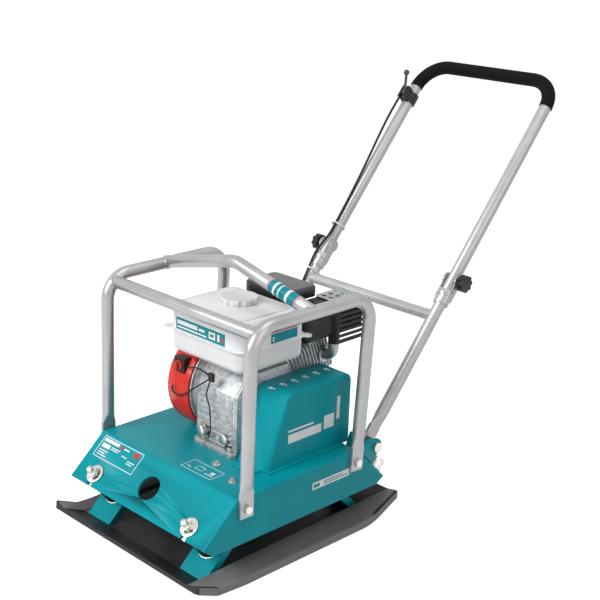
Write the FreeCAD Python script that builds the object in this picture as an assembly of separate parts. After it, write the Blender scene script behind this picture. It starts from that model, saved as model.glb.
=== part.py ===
import FreeCAD, Part
import math
import os

os.makedirs("parts", exist_ok=True)
V = FreeCAD.Vector

# A forward plate compactor, 5.5 to 6.5 hp class. Millimetres and degrees.
# +X is the belt side, -Y the front, +Y the handle, +Z up. The origin is the centre of the sole.

# ---- clearances ----
running_gap = 0.05
clearance = 0.4
bolt_hole_gap = 0.3

# ---- base plate ----
plate_width = 436.0
plate_length = 547.0
plate_thickness = 8.0
sole_front = 222.0
sole_flat_front = 152.0
sole_rear = 192.0
front_lip_rise = 27.0
front_crease_rise = 5.0
rear_lip_rise = 38.0
front_bend_radius = 22.0
rear_bend_radius = 130.0
plate_corner_cut = 7.0
side_rim_height = 7.0
side_rim_thickness = 6.0

# ---- engine deck, a folded box open below ----
deck_half_width = 201.0
deck_top = 169.0
deck_sheet = 5.0
deck_front_edge = 161.5
deck_rear_edge = 159.5
front_foot_y = 243.0
front_foot_z = 95.0
rear_foot_y = 240.0
rear_foot_z = 89.0
skirt_bottom = 76.5
skirt_bottom_front = 221.0
skirt_bottom_rear = 218.0
deck_bend_radius = 9.0
side_edge_radius = 6.0
access_hole_radius = 25.0
access_hole_drop = 58.0

# ---- rubber mounts and their legs ----
mount_x = 142.0
mount_drop = 84.5
mount_slot_width = 13.0
stud_radius = 5.9
stud_length = 24.0
mount_plate_thickness = 3.0
mount_plate_radius = 26.0
rubber_radius = 25.0
rubber_length = 65.0
washer_radius = 19.0
washer_thickness = 3.5
nut_flats = 19.0
nut_height = 10.0
leg_width = 68.0
leg_sheet = 6.0
leg_flange = 16.0
leg_top_reach = 30.0

# ---- exciter ----
exciter_y = -36.0
exciter_z = 78.0
exciter_radius = 46.0
exciter_bore = 36.0
exciter_half_length = 95.0
exciter_cover_thickness = 10.0
exciter_bearing_width = 20.0
exciter_shaft_radius = 15.0
exciter_foot_reach = 66.0
exciter_foot_half_length = 78.0
exciter_foot_thickness = 14.0
exciter_bolt_x = 62.0
exciter_bolt_y = 56.0
eccentric_radius = 31.0
eccentric_half_length = 58.0

# ---- belt drive ----
crank_y = 40.0
crank_z = 266.0
belt_x = 118.0
belt_width = 13.0
belt_thickness = 8.0
clutch_groove_radius = 36.0
exciter_groove_radius = 34.0
pulley_rim = 7.0
pulley_cheek = 5.0
pulley_shaft_radius = 13.0
clutch_drum_depth = 12.0

# ---- belt guard ----
guard_inner_x = 77.0
guard_outer_x = 157.0
guard_top = 314.0
guard_sheet = 2.5
guard_front_foot = 50.0
guard_top_front = 6.0
guard_rear = 180.0
guard_corner_radius = 16.0
guard_edge_radius = 7.0
guard_flange = 9.0
guard_tab = 24.0

# ---- engine ----
engine_x = 16.0
case_half_width = 54.0
case_front = 52.0
case_base = 12.0
case_wall = 9.0
flange_front = 60.0
flange_rear = 124.0
flange_half_width = 58.0
engine_bolt_x = 37.75
engine_bolt_y = 81.0
engine_bolt_centre_y = 36.0
engine_bolt_radius = 4.0
bell_radius = 97.5
bell_depth = 18.0
cylinder_tilt = 20.0
cylinder_start = 62.0
cylinder_length = 80.0
cylinder_core = 36.0
bore_radius = 34.0
fin_reach = 46.0
fin_thickness = 2.4
fin_count = 9
head_length = 44.0
head_core = 37.0
head_fin_count = 6
plug_x = 27.0
plug_rise = 23.0
rocker_length = 28.0
rocker_side = 14.0
rocker_half_height = 30.0
crank_radius = 12.5
crank_throw = 22.5
crank_bearing_radius = 26.0
crank_bearing_width = 14.0

# ---- fan housing and recoil starter ----
fan_radius = 101.0
fan_depth = 62.0
fan_sheet = 2.5
fan_bottom = 172.0
fan_top = 351.0
fan_duct_reach = 112.0
fan_duct_bottom = 262.0
switch_drop = 34.0
switch_inset = 4.0
switch_size = 30.0
switch_depth = 14.0
switch_knob_radius = 10.0
flywheel_radius = 79.0
recoil_radius = 78.0
recoil_depth = 26.0
reel_radius = 46.0
rope_radius = 2.5
rope_bush_radius = 6.0
grip_half_length = 32.0
grip_radius = 10.0
pull_travel = 420.0

# ---- fuel tank ----
tank_x0 = -90.0
tank_x1 = 118.0
tank_y0 = -82.0
tank_y1 = 87.0
tank_bottom = 357.0
tank_seam = 402.0
tank_top = 455.0
tank_wall = 2.0
tank_corner = 24.0
seam_reach = 6.0
seam_thickness = 3.0
cap_x = 6.0
cap_y = 15.0
cap_radius = 37.5
cap_height = 11.0
neck_radius = 20.0
neck_height = 5.0

# ---- air cleaner, carburettor, exhaust ----
cleaner_x0 = -74.0
cleaner_x1 = 50.0
cleaner_y0 = 98.0
cleaner_y1 = 188.0
cleaner_lid_bottom = 443.0
cleaner_lid_top = 466.0
cleaner_base_x1 = 16.0
cleaner_base_bottom = 384.0
muffler_x0 = 26.0
muffler_x1 = 110.0
muffler_y0 = 94.0
muffler_y1 = 262.0
muffler_bottom = 374.0
muffler_top = 436.0
muffler_corner = 16.0
muffler_guard_x = 118.0
muffler_guard_y0 = 164.0
muffler_guard_y1 = 275.0
muffler_guard_bottom = 362.0
muffler_guard_top = 435.0
louvre_count = 6

# ---- protective cage ----
tube_radius = 12.7
tube_wall = 2.0
hoop_x = 205.7
hoop_front_foot = 145.0
hoop_rear_foot = 149.0
hoop_front_top = 140.0
hoop_rear_top = 168.0
hoop_bolt_z = 148.0
hoop_top = 487.0
hoop_bend = 50.0
flat_half_width = 16.0
flat_half_thickness = 3.2
front_bar_z = 474.0
front_bar_y = -124.0
arch_y = 8.0
arch_apex = 537.0
cage_bolt_radius = 5.0

# ---- handle ----
handle_x = 174.6
handle_tilt = 50.0
pivot_y = 210.0
pivot_z = 161.0
cross_tube_at = 294.0
saddle_start = 322.0
saddle_web_end = 353.0
saddle_end = 393.0
knob_at = 379.0
lower_tube_end = 341.0
upper_tube_start = 345.0
saddle_sheet = 3.2
handle_length = 866.0
grip_start = handle_length - 57.0
handle_bend = 62.0
grip_outer = 14.4
pivot_bolt_radius = 6.0
lug_sheet = 5.0
lug_inner_x = 150.0
lug_radius = 17.0
lug_front = 176.0
lug_outer_x = deck_half_width
bush_radius = 13.0
knob_radius = 18.0
knob_height = 20.0
knob_lobes = 8
knob_stud_radius = 4.0
lever_at = handle_length - 94.0
stop_radius = 17.0
stop_height = 24.0
stop_drop = 92.0
stop_x = 182.0

# ---- throttle cable ----
cable_radius = 2.75

X_AXIS = V(1, 0, 0)
Y_AXIS = V(0, 1, 0)
Z_AXIS = V(0, 0, 1)


# ================= shapes used by many pieces =================

def box(x0, x1, y0, y1, z0, z1):
    return Part.makeBox(x1 - x0, y1 - y0, z1 - z0, V(x0, y0, z0))


def x_cylinder(x0, x1, y, z, radius):
    return Part.makeCylinder(radius, x1 - x0, V(x0, y, z), X_AXIS)


def z_cylinder(x, y, z0, z1, radius):
    return Part.makeCylinder(radius, z1 - z0, V(x, y, z0), Z_AXIS)


def x_ring(x0, x1, y, z, outer, inner):
    return x_cylinder(x0, x1, y, z, outer).cut(x_cylinder(x0, x1, y, z, inner))


def hexagon(flats, height):
    """A hexagonal prism on +Z, sized across its flats."""
    corner = flats / math.sqrt(3)
    points = [V(corner * math.cos(math.radians(60 * k)), corner * math.sin(math.radians(60 * k)), 0)
              for k in range(7)]
    return Part.Face(Part.makePolygon(points)).extrude(V(0, 0, height))


def prism(points, x0, x1):
    """A prism along X of a polygon given as (y, z) corners."""
    corners = [V(x0, y, z) for y, z in points]
    return Part.Face(Part.makePolygon(corners + corners[:1])).extrude(V(x1 - x0, 0, 0))


def rounded_edges(points, radii):
    """Straight runs joined by tangent arcs, one radius for each inner corner."""
    edges = []
    start = points[0]
    for before, corner, after, radius in zip(points, points[1:], points[2:], radii):
        arrive = (corner - before).normalize()
        leave = (after - corner).normalize()
        turn = arrive.getAngle(leave)
        if turn < 1e-6 or radius <= 0:
            edges.append(Part.LineSegment(start, corner).toShape())
            start = corner
            continue
        tangent = radius * math.tan(turn / 2)
        first = corner - arrive * tangent
        last = corner + leave * tangent
        inward = (leave - arrive).normalize()
        centre = corner + inward * (radius / math.cos(turn / 2))
        middle = centre - inward * radius
        if (first - start).Length > 1e-6:
            edges.append(Part.LineSegment(start, first).toShape())
        edges.append(Part.Arc(first, middle, last).toShape())
        start = last
    edges.append(Part.LineSegment(start, points[-1]).toShape())
    return edges


def closed_profile(points, radii):
    """A flat face from closed (y, z) corners at x = 0, each with its own radius."""
    loop = [V(0, y, z) for y, z in points]
    middle = (loop[-1] + loop[0]) * 0.5
    path = [middle] + loop + [middle]
    return Part.Face(Part.Wire(rounded_edges(path, radii)))


def offset_line(points, distance):
    """An open (y, z) line moved to its left, with mitred corners."""
    moved = []
    count = len(points)
    for k in range(count):
        normals = []
        for a, b in ((k - 1, k), (k, k + 1)):
            if a >= 0 and b < count:
                dy = points[b][0] - points[a][0]
                dz = points[b][1] - points[a][1]
                length = math.hypot(dy, dz)
                normals.append((-dz / length, dy / length))
        ny = sum(n[0] for n in normals) / len(normals)
        nz = sum(n[1] for n in normals) / len(normals)
        scale = distance / (ny * ny + nz * nz)
        moved.append((points[k][0] + ny * scale, points[k][1] + nz * scale))
    return moved


def bent_sheet(points, radii, thickness, x0, x1):
    """A sheet bent along a (y, z) line, its thickness to the left of the line, extruded along X."""
    far = offset_line(points, thickness)
    far_radii = []
    for k, radius in enumerate(radii):
        a, b, c = points[k], points[k + 1], points[k + 2]
        turn = (b[0] - a[0]) * (c[1] - b[1]) - (b[1] - a[1]) * (c[0] - b[0])
        far_radii.append(max(radius - thickness, 0.5) if turn > 0 else radius + thickness)
    near_path = [V(x0, y, z) for y, z in points]
    far_path = [V(x0, y, z) for y, z in far]
    edges = rounded_edges(near_path, radii)
    edges.append(Part.LineSegment(near_path[-1], far_path[-1]).toShape())
    edges += rounded_edges(far_path[::-1], far_radii[::-1])
    edges.append(Part.LineSegment(far_path[0], near_path[0]).toShape())
    return Part.Face(Part.Wire(edges)).extrude(V(x1 - x0, 0, 0))


def bar(points, bend_radius, radius):
    """A round bar along straight runs and tangent arcs."""
    radii = [bend_radius] * (len(points) - 2)
    path = Part.Wire(rounded_edges(points, radii))
    section = Part.Wire(Part.makeCircle(radius, points[0], points[1] - points[0]))
    return path.makePipeShell([section], True, True)


def tube(points, bend_radius, radius, wall):
    return bar(points, bend_radius, radius).cut(bar(points, bend_radius, radius - wall))


def straight_tube(start, end, radius, wall):
    direction = end - start
    outer = Part.makeCylinder(radius, direction.Length, start, direction)
    return outer.cut(Part.makeCylinder(radius - wall, direction.Length, start, direction))


def stadium(centre, wide, thin, half_width, half_thickness):
    """A closed wire of two flats and two round ends."""
    run = half_width - half_thickness
    a = centre + wide * run + thin * half_thickness
    b = centre - wide * run + thin * half_thickness
    c = centre - wide * run - thin * half_thickness
    d = centre + wide * run - thin * half_thickness
    return Part.Wire([
        Part.LineSegment(a, b).toShape(),
        Part.Arc(b, centre - wide * half_width, c).toShape(),
        Part.LineSegment(c, d).toShape(),
        Part.Arc(d, centre + wide * half_width, a).toShape(),
    ])


def quartered_circle(centre, wide, thin, radius):
    """A circle in four arcs, to loft into a stadium."""
    corner = radius / math.sqrt(2)
    a = centre + wide * corner + thin * corner
    b = centre - wide * corner + thin * corner
    c = centre - wide * corner - thin * corner
    d = centre + wide * corner - thin * corner
    return Part.Wire([
        Part.Arc(a, centre + thin * radius, b).toShape(),
        Part.Arc(b, centre - wide * radius, c).toShape(),
        Part.Arc(c, centre - thin * radius, d).toShape(),
        Part.Arc(d, centre + wide * radius, a).toShape(),
    ])


def flattened_end(tube_end, bolt_centre, wide, taper, square=False):
    """The pressed flat end of a tube, thin along X, with a round or square tip at its bolt."""
    along = (bolt_centre - tube_end).normalize()
    flat_start = tube_end + along * taper
    cone = Part.makeLoft([quartered_circle(tube_end, wide, X_AXIS, tube_radius),
                          stadium(flat_start, wide, X_AXIS, flat_half_width, flat_half_thickness)],
                         True, True)
    corner = flat_start - wide * flat_half_width - X_AXIS * flat_half_thickness
    side = wide * (2 * flat_half_width)
    run = along * ((bolt_centre - flat_start).Length + (flat_half_width + 1 if square else 0))
    face = Part.Face(Part.makePolygon([corner, corner + side, corner + side + run, corner + run, corner]))
    plate = face.extrude(X_AXIS * (2 * flat_half_thickness))
    if square:
        return cone.fuse(plate).removeSplitter()
    tip = Part.makeCylinder(flat_half_width, 2 * flat_half_thickness,
                            bolt_centre - X_AXIS * flat_half_thickness, X_AXIS)
    return cone.fuse([plate, tip]).removeSplitter()


def rounded_box(x0, x1, y0, y1, z0, z1, radius):
    """A box whose upright edges are rounded."""
    block = box(x0, x1, y0, y1, z0, z1)
    upright = [e for e in block.Edges if abs(e.tangentAt(e.FirstParameter).z) > 0.9]
    return block.makeFillet(radius, upright)


def edges_along_x(shape):
    return [e for e in shape.Edges if abs(e.tangentAt(e.FirstParameter).x) > 0.999]


def half_space_above(z):
    return box(-600, 600, -600, 1200, z, z + 1500)


def bolt(frame, flats, head, shank_radius, shank):
    """A hexagon bolt: its head stands on the frame's z = 0, its shank goes down."""
    solid = hexagon(flats, head).fuse(Part.makeCylinder(shank_radius, shank, V(0, 0, -shank), Z_AXIS))
    solid.Placement = frame
    return solid


def up_frame(x, y, z):
    return FreeCAD.Placement(V(x, y, z), FreeCAD.Rotation())


def side_frame(x, y, z):
    """A frame whose +Z looks outwards along X."""
    direction = V(math.copysign(1, x), 0, 0)
    return FreeCAD.Placement(V(x, y, z), FreeCAD.Rotation(Z_AXIS, direction))


def slope_frame(top, foot, drop, x):
    """A frame on a slanted deck face: +Z outwards, +Y up the slope, its origin drop below the edge."""
    up = V(0, top[0] - foot[0], top[1] - foot[1]).normalize()
    point = V(x, top[0], top[1]) - up * drop
    outward = V(0, -up.z, up.y) if up.y > 0 else V(0, up.z, -up.y)
    return FreeCAD.Placement(point, FreeCAD.Rotation(up.cross(outward), up, outward, "ZXY"))


def at(shape, frame):
    moved = shape.copy()
    moved.Placement = frame.multiply(moved.Placement)
    return moved


def group(shapes):
    return Part.makeCompound(shapes)


def export(node, shape):
    solids = shape.Solids
    if not solids:
        raise ValueError(node + " has no solid")
    whole = solids[0] if len(solids) == 1 else Part.makeCompound(solids)
    whole.exportStep("parts/" + node + ".step")
    print(f"{node}: {len(solids)} solid(s), {whole.Volume / 1000:.1f} cm3")


front_top = (-deck_front_edge, deck_top)
front_foot = (-front_foot_y, front_foot_z)
rear_top = (deck_rear_edge, deck_top)
rear_foot = (rear_foot_y, rear_foot_z)

MOUNT_FRAMES = [slope_frame(top, foot, mount_drop, x)
                for top, foot in ((front_top, front_foot), (rear_top, rear_foot))
                for x in (-mount_x, mount_x)]
leg_face = deck_sheet + 2 * mount_plate_thickness + rubber_length


# ================= base plate and mounts =================

def base_plate():
    """Steel dish: flat sole, turned-up lips at both ends, a low rim along each side."""
    half = plate_length / 2
    sole = [(-half, front_lip_rise), (-sole_front, front_crease_rise), (-sole_flat_front, 0),
            (sole_rear, 0), (half, rear_lip_rise)]
    radii = [front_bend_radius, rear_bend_radius, rear_bend_radius]
    edge = plate_width / 2
    plate = bent_sheet(sole, radii, plate_thickness, -edge, edge)
    rims = [bent_sheet(sole, radii, plate_thickness + side_rim_height, x, x + side_rim_thickness)
            for x in (-edge, edge - side_rim_thickness)]
    dish = plate.fuse(rims).removeSplitter()
    for sx in (-1, 1):
        for end in (-half, half):
            reach = plate_corner_cut * math.copysign(1, end)
            corner = [V(sx * edge, end - reach, -50), V(sx * (edge - plate_corner_cut), end, -50),
                      V(sx * (edge + 40), end + 2 * reach, -50), V(sx * (edge + 40), end - reach, -50)]
            dish = dish.cut(Part.Face(Part.makePolygon(corner + corner[:1])).extrude(V(0, 0, 200)))
    for x in (-exciter_bolt_x, exciter_bolt_x):
        for y in (exciter_y - exciter_bolt_y, exciter_y + exciter_bolt_y):
            dish = dish.cut(z_cylinder(x, y, 1.5, plate_thickness, 5 + bolt_hole_gap))
    return dish


def mount_legs(plate):
    """Four channels welded to the base plate, each parallel to the deck face above it."""
    legs = []
    half = leg_width / 2
    for frame in MOUNT_FRAMES:
        web = box(-half, half, -150, leg_top_reach, -leg_face - leg_sheet, -leg_face)
        sides = [box(x, x + leg_sheet, -150, leg_top_reach, -leg_face - leg_flange, -leg_face)
                 for x in (-half, half - leg_sheet)]
        channel = web.fuse(sides).removeSplitter()
        hole = Part.makeCylinder(stud_radius + bolt_hole_gap, 60, V(0, 0, -leg_face - 50), Z_AXIS)
        leg = at(channel.cut(hole), frame)
        legs.append(leg.common(half_space_above(plate_thickness)).cut(plate).Solids[0])
    return group(legs)


def rubber_mounts():
    """Waisted rubber cylinders of the mounts, and the bushes that centre each arm in its ears."""
    top = -deck_sheet - mount_plate_thickness
    rubber = []
    for sx in (-1, 1):
        spans = ((lug_inner_x + lug_sheet, handle_x - flat_half_thickness - clearance),
                 (handle_x + flat_half_thickness + clearance, lug_outer_x - lug_sheet))
        for x0, x1 in spans:
            bush = x_ring(x0, x1, pivot_y, pivot_z, bush_radius, pivot_bolt_radius)
            rubber.append(bush if sx > 0 else bush.mirror(V(0, 0, 0), X_AXIS))
    for frame in MOUNT_FRAMES:
        waist = rubber_radius - 3
        side = Part.Arc(V(rubber_radius, 0, top), V(waist, 0, top - rubber_length / 2),
                        V(rubber_radius, 0, top - rubber_length)).toShape()
        outline = Part.Wire([Part.LineSegment(V(0, 0, top), V(rubber_radius, 0, top)).toShape(), side,
                             Part.LineSegment(V(rubber_radius, 0, top - rubber_length),
                                              V(0, 0, top - rubber_length)).toShape(),
                             Part.LineSegment(V(0, 0, top - rubber_length), V(0, 0, top)).toShape()])
        rubber.append(at(Part.Face(outline).revolve(V(0, 0, 0), Z_AXIS, 360), frame))
    return group(rubber)


def mount_studs():
    """The steel end plates of the mounts, each with its threaded stud."""
    studs = []
    low = -leg_face
    for frame in MOUNT_FRAMES:
        upper = Part.makeCylinder(mount_plate_radius, mount_plate_thickness,
                                  V(0, 0, -deck_sheet - mount_plate_thickness), Z_AXIS)
        upper = upper.fuse(Part.makeCylinder(stud_radius, deck_sheet + stud_length, V(0, 0, -deck_sheet),
                                             Z_AXIS))
        lower = Part.makeCylinder(mount_plate_radius, mount_plate_thickness, V(0, 0, low), Z_AXIS)
        lower = lower.fuse(Part.makeCylinder(stud_radius, stud_length, V(0, 0, low - stud_length), Z_AXIS))
        studs += [at(upper, frame), at(lower, frame)]
    return studs


def mount_fasteners():
    """Studs with their end plates, outer washers and nuts of the four mounts."""
    pieces = mount_studs()
    for frame in MOUNT_FRAMES:
        for z in (washer_thickness, -leg_face - leg_sheet - nut_height):
            nut = hexagon(nut_flats, nut_height).cut(Part.makeCylinder(stud_radius, nut_height))
            nut.translate(V(0, 0, z))
            pieces.append(at(nut, frame))
        washer = Part.makeCylinder(washer_radius, washer_thickness)
        pieces.append(at(washer.cut(Part.makeCylinder(stud_radius, washer_thickness)), frame))
    return group(pieces)


# ================= exciter =================

def exciter_housing():
    """Cast barrel on a footed saddle, bored right through for the bearings."""
    barrel = x_cylinder(-exciter_half_length, exciter_half_length, exciter_y, exciter_z, exciter_radius)
    foot_top = plate_thickness + exciter_foot_thickness
    foot = box(-exciter_foot_half_length, exciter_foot_half_length, exciter_y - exciter_foot_reach,
               exciter_y + exciter_foot_reach, plate_thickness, foot_top)
    pedestal = box(-exciter_foot_half_length, exciter_foot_half_length, exciter_y - 30, exciter_y + 30,
                   foot_top, exciter_z)
    ribs = [prism([(exciter_y - exciter_foot_reach + 8, foot_top),
                   (exciter_y + exciter_foot_reach - 8, foot_top),
                   (exciter_y + 30, exciter_z), (exciter_y - 30, exciter_z)], x, x + 10)
            for x in (-40, -5, 30)]
    shell = barrel.fuse([foot, pedestal] + ribs)
    shell = shell.cut(x_cylinder(-exciter_half_length, exciter_half_length, exciter_y, exciter_z,
                                 exciter_bore))
    for x in (-exciter_bolt_x, exciter_bolt_x):
        for y in (exciter_y - exciter_bolt_y, exciter_y + exciter_bolt_y):
            shell = shell.cut(z_cylinder(x, y, 0, foot_top + 1, 5 + bolt_hole_gap))
    oil_hole = Part.makeCylinder(7, 60, V(0, exciter_y, exciter_z), V(0, -1, 0.6))
    return shell.cut(oil_hole).removeSplitter()


def exciter_oil_plug():
    direction = V(0, -1, 0.6).normalize()
    start = V(0, exciter_y, exciter_z)
    reach = exciter_radius - exciter_bore
    shank = Part.makeCylinder(7, reach + 2, start + direction * (exciter_bore + 1), direction)
    head = Part.makeCylinder(11, 8, start + direction * (exciter_radius + 2), direction)
    return shank.fuse(head).removeSplitter()


def exciter_end_covers():
    covers = []
    for x in (-exciter_half_length - exciter_cover_thickness, exciter_half_length):
        cover = x_ring(x, x + exciter_cover_thickness, exciter_y, exciter_z, exciter_radius,
                       exciter_shaft_radius + clearance)
        covers.append(cover)
    return group(covers)


def shaft_bearings():
    """The four ball bearings, two in the exciter and two on the crankshaft, as plain rings."""
    left = engine_x - case_half_width - 2
    right = engine_x + case_half_width + 2
    rings = [x_ring(x, x + crank_bearing_width, crank_y, crank_z, crank_bearing_radius,
                    crank_radius + running_gap) for x in (left, right - crank_bearing_width)]
    for x in (-exciter_half_length, exciter_half_length - exciter_bearing_width):
        rings.append(x_ring(x, x + exciter_bearing_width, exciter_y, exciter_z, exciter_bore,
                            exciter_shaft_radius + running_gap))
    return group(rings)


def exciter_shaft():
    """Shaft with a half-round eccentric weight between its bearings."""
    shaft = x_cylinder(-exciter_half_length - 6, exciter_half_length + exciter_cover_thickness + 1,
                       exciter_y, exciter_z, exciter_shaft_radius)
    nose = x_cylinder(exciter_half_length, belt_x + belt_width, exciter_y, exciter_z, pulley_shaft_radius)
    weight = x_cylinder(-eccentric_half_length, eccentric_half_length, exciter_y, exciter_z,
                        eccentric_radius)
    weight = weight.common(box(-100, 100, exciter_y - 40, exciter_y + 40, exciter_z - 40, exciter_z))
    return shaft.fuse([nose, weight]).removeSplitter()


def grooved_pulley(y, z, groove_radius, bore):
    """A flat-bottomed vee-belt pulley centred on the belt line."""
    half = belt_width / 2 + clearance
    rim = groove_radius + pulley_rim
    body = x_cylinder(belt_x - half, belt_x + half, y, z, groove_radius)
    cheeks = [x_cylinder(x, x + pulley_cheek, y, z, rim) for x in (belt_x - half - pulley_cheek,
                                                                   belt_x + half)]
    body = body.fuse(cheeks)
    return body.cut(x_cylinder(belt_x - 40, belt_x + 40, y, z, bore)).removeSplitter()


def exciter_pulley():
    return grooved_pulley(exciter_y, exciter_z, exciter_groove_radius, pulley_shaft_radius)


# ================= belt drive =================

def band(radius_a, radius_b, x0, x1):
    """The outline of a belt round both pulleys, as a prism along X."""
    a = V(x0, crank_y, crank_z)
    b = V(x0, exciter_y, exciter_z)
    line = (b - a)
    distance = line.Length
    along = line.normalize()
    across = along.cross(X_AXIS)
    lean = math.asin((radius_a - radius_b) / distance)
    corners = []
    for centre, radius, side in ((a, radius_a, 1), (b, radius_b, 1), (b, radius_b, -1), (a, radius_a, -1)):
        normal = along * math.sin(lean) + across * (side * math.cos(lean))
        corners.append(centre + normal * radius)
    web = Part.Face(Part.makePolygon(corners + corners[:1])).extrude(V(x1 - x0, 0, 0))
    rounds = [x_cylinder(x0, x1, crank_y, crank_z, radius_a),
              x_cylinder(x0, x1, exciter_y, exciter_z, radius_b)]
    return web.fuse(rounds).removeSplitter()


def drive_belt():
    x0 = belt_x - belt_width / 2
    x1 = belt_x + belt_width / 2
    inner_a = clutch_groove_radius + clearance
    inner_b = exciter_groove_radius + clearance
    outer = band(inner_a + belt_thickness, inner_b + belt_thickness, x0, x1)
    return outer.cut(band(inner_a, inner_b, x0, x1))


def clutch_drum():
    """Grooved drum of the centrifugal clutch; the shoes grip it from inside."""
    half = belt_width / 2 + clearance + pulley_cheek
    bore = clutch_groove_radius - 6
    rim = grooved_pulley(crank_y, crank_z, clutch_groove_radius, bore)
    face = x_ring(belt_x + half - 4, belt_x + half, crank_y, crank_z, clutch_groove_radius,
                  crank_radius + running_gap)
    return rim.fuse(face).removeSplitter()


def clutch_hub():
    """Hub keyed to the crankshaft, with two shoes inside the drum."""
    half = belt_width / 2 + clearance + pulley_cheek
    x0 = belt_x - half
    x1 = belt_x + half - 4 - clearance
    hub = x_ring(x0, x1, crank_y, crank_z, 19, crank_radius)
    shoe_ring = x_ring(x0, x1, crank_y, crank_z, clutch_groove_radius - 6 - clearance, 21)
    gap = box(x0 - 1, x1 + 1, crank_y - 3, crank_y + 3, crank_z - 60, crank_z + 60)
    arms = box(x0, x1, crank_y - 24, crank_y + 24, crank_z - 5, crank_z + 5)
    arms = arms.cut(x_cylinder(x0 - 1, x1 + 1, crank_y, crank_z, 16))
    shoes = shoe_ring.cut(gap)
    return hub.fuse([shoes, arms]).removeSplitter()


def guard_outline(inset):
    """The belt guard's side profile, moved in by the sheet's thickness."""
    points = [(-guard_front_foot + inset, deck_top), (guard_top_front + inset * 0.7, guard_top - inset),
              (guard_rear - inset, guard_top - inset), (guard_rear - inset, deck_top)]
    radii = [0, guard_corner_radius - inset, guard_corner_radius - inset, 0]
    return closed_profile(points, radii)


def belt_guard():
    """Pressed steel cover over clutch and belt, open below and towards the engine."""
    solid = guard_outline(0).extrude(V(guard_outer_x - guard_inner_x, 0, 0))
    solid.translate(V(guard_inner_x, 0, 0))
    rim = [e for e in solid.Edges if abs(e.CenterOfMass.x - guard_outer_x) < 0.01
           and e.CenterOfMass.z > deck_top + 1]
    solid = solid.makeFillet(guard_edge_radius, rim)
    hollow = guard_outline(guard_sheet).extrude(V(guard_outer_x - guard_inner_x, 0, 0))
    hollow.translate(V(guard_inner_x - guard_sheet, 0, 0))
    inner_rim = [e for e in hollow.Edges
                 if abs(e.CenterOfMass.x - guard_outer_x + guard_sheet) < 0.01
                 and e.CenterOfMass.z > deck_top + 1]
    hollow = hollow.makeFillet(guard_edge_radius - guard_sheet, inner_rim)
    shell = solid.cut(hollow)
    foot = box(guard_outer_x - guard_sheet, guard_outer_x + guard_flange, -guard_front_foot, guard_rear,
               deck_top, deck_top + guard_sheet)
    foot = foot.common(box(0, 300, -200, deck_rear_edge - 3, 0, 300))
    tabs = [box(guard_inner_x + 12, guard_outer_x - 12, -guard_front_foot - guard_tab, -guard_front_foot + 1,
                deck_top, deck_top + guard_sheet),
            box(guard_inner_x - 21, guard_inner_x + 1, guard_rear - 40, guard_rear - 12, deck_top,
                deck_top + guard_sheet),
            box(guard_inner_x, guard_inner_x + guard_sheet, guard_rear - 40, guard_rear - 1, deck_top,
                deck_top + 14)]
    shell = shell.fuse([foot] + tabs)
    for x, y in guard_bolt_places():
        shell = shell.cut(z_cylinder(x, y, deck_top - 1, deck_top + 10, 3 + bolt_hole_gap))
    return shell.removeSplitter()


def guard_bolt_places():
    middle = (guard_inner_x + guard_outer_x) / 2
    return [(middle, -guard_front_foot - guard_tab / 2), (guard_inner_x - 11, guard_rear - 24)]


def guard_backplate():
    """The flat inner half of the guard, round the crankshaft and bolted to the engine."""
    plate = guard_outline(guard_sheet + clearance).extrude(V(guard_sheet, 0, 0))
    plate.translate(V(guard_inner_x, 0, 0))
    tab_room = box(guard_inner_x - 5, guard_inner_x + 10, guard_rear - 42, guard_rear + 5, deck_top - 5,
                   deck_top + 15)
    return plate.cut([x_cylinder(guard_inner_x - 5, guard_inner_x + 10, crank_y, crank_z, 24), tab_room])


# ================= deck =================

def deck_holes():
    """Everything drilled or slotted through the deck."""
    front = slope_frame(front_top, front_foot, access_hole_drop, 0)
    holes = [at(Part.makeCylinder(access_hole_radius, 40, V(0, 0, -20), Z_AXIS), front)]
    for frame in MOUNT_FRAMES:
        hole = Part.makeCylinder(mount_slot_width / 2, 40, V(0, 0, -20), Z_AXIS)
        slot = box(-mount_slot_width / 2, mount_slot_width / 2, -80, 0, -8, 20)
        holes.append(at(hole.fuse(slot), frame))
    for x, y in engine_bolt_places():
        holes.append(z_cylinder(x, y, deck_top - 20, deck_top + 5, engine_bolt_radius + bolt_hole_gap))
    for x, y in guard_bolt_places() + deck_bolt_places():
        holes.append(z_cylinder(x, y, deck_top - 20, deck_top + 5, 3 + bolt_hole_gap))
    for x, y, z in cage_bolt_places():
        holes.append(x_cylinder(x - 30, x + 30, y, z, cage_bolt_radius + bolt_hole_gap))
    holes.append(box(guard_inner_x + 16, guard_outer_x - 14, -guard_front_foot + 0.5, crank_y + 16,
                     deck_top - 20, deck_top + 5))
    return holes


def engine_bolt_places():
    return [(engine_x + sx * engine_bolt_x, engine_bolt_centre_y + sy * engine_bolt_y)
            for sx in (-1, 1) for sy in (-1, 1)]


def deck_bolt_places():
    return [(66, -94), (140, -120)]


def cage_bolt_places():
    return [(sx * hoop_x, y, hoop_bolt_z) for sx in (-1, 1) for y in (-hoop_front_foot, hoop_rear_foot)]


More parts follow.
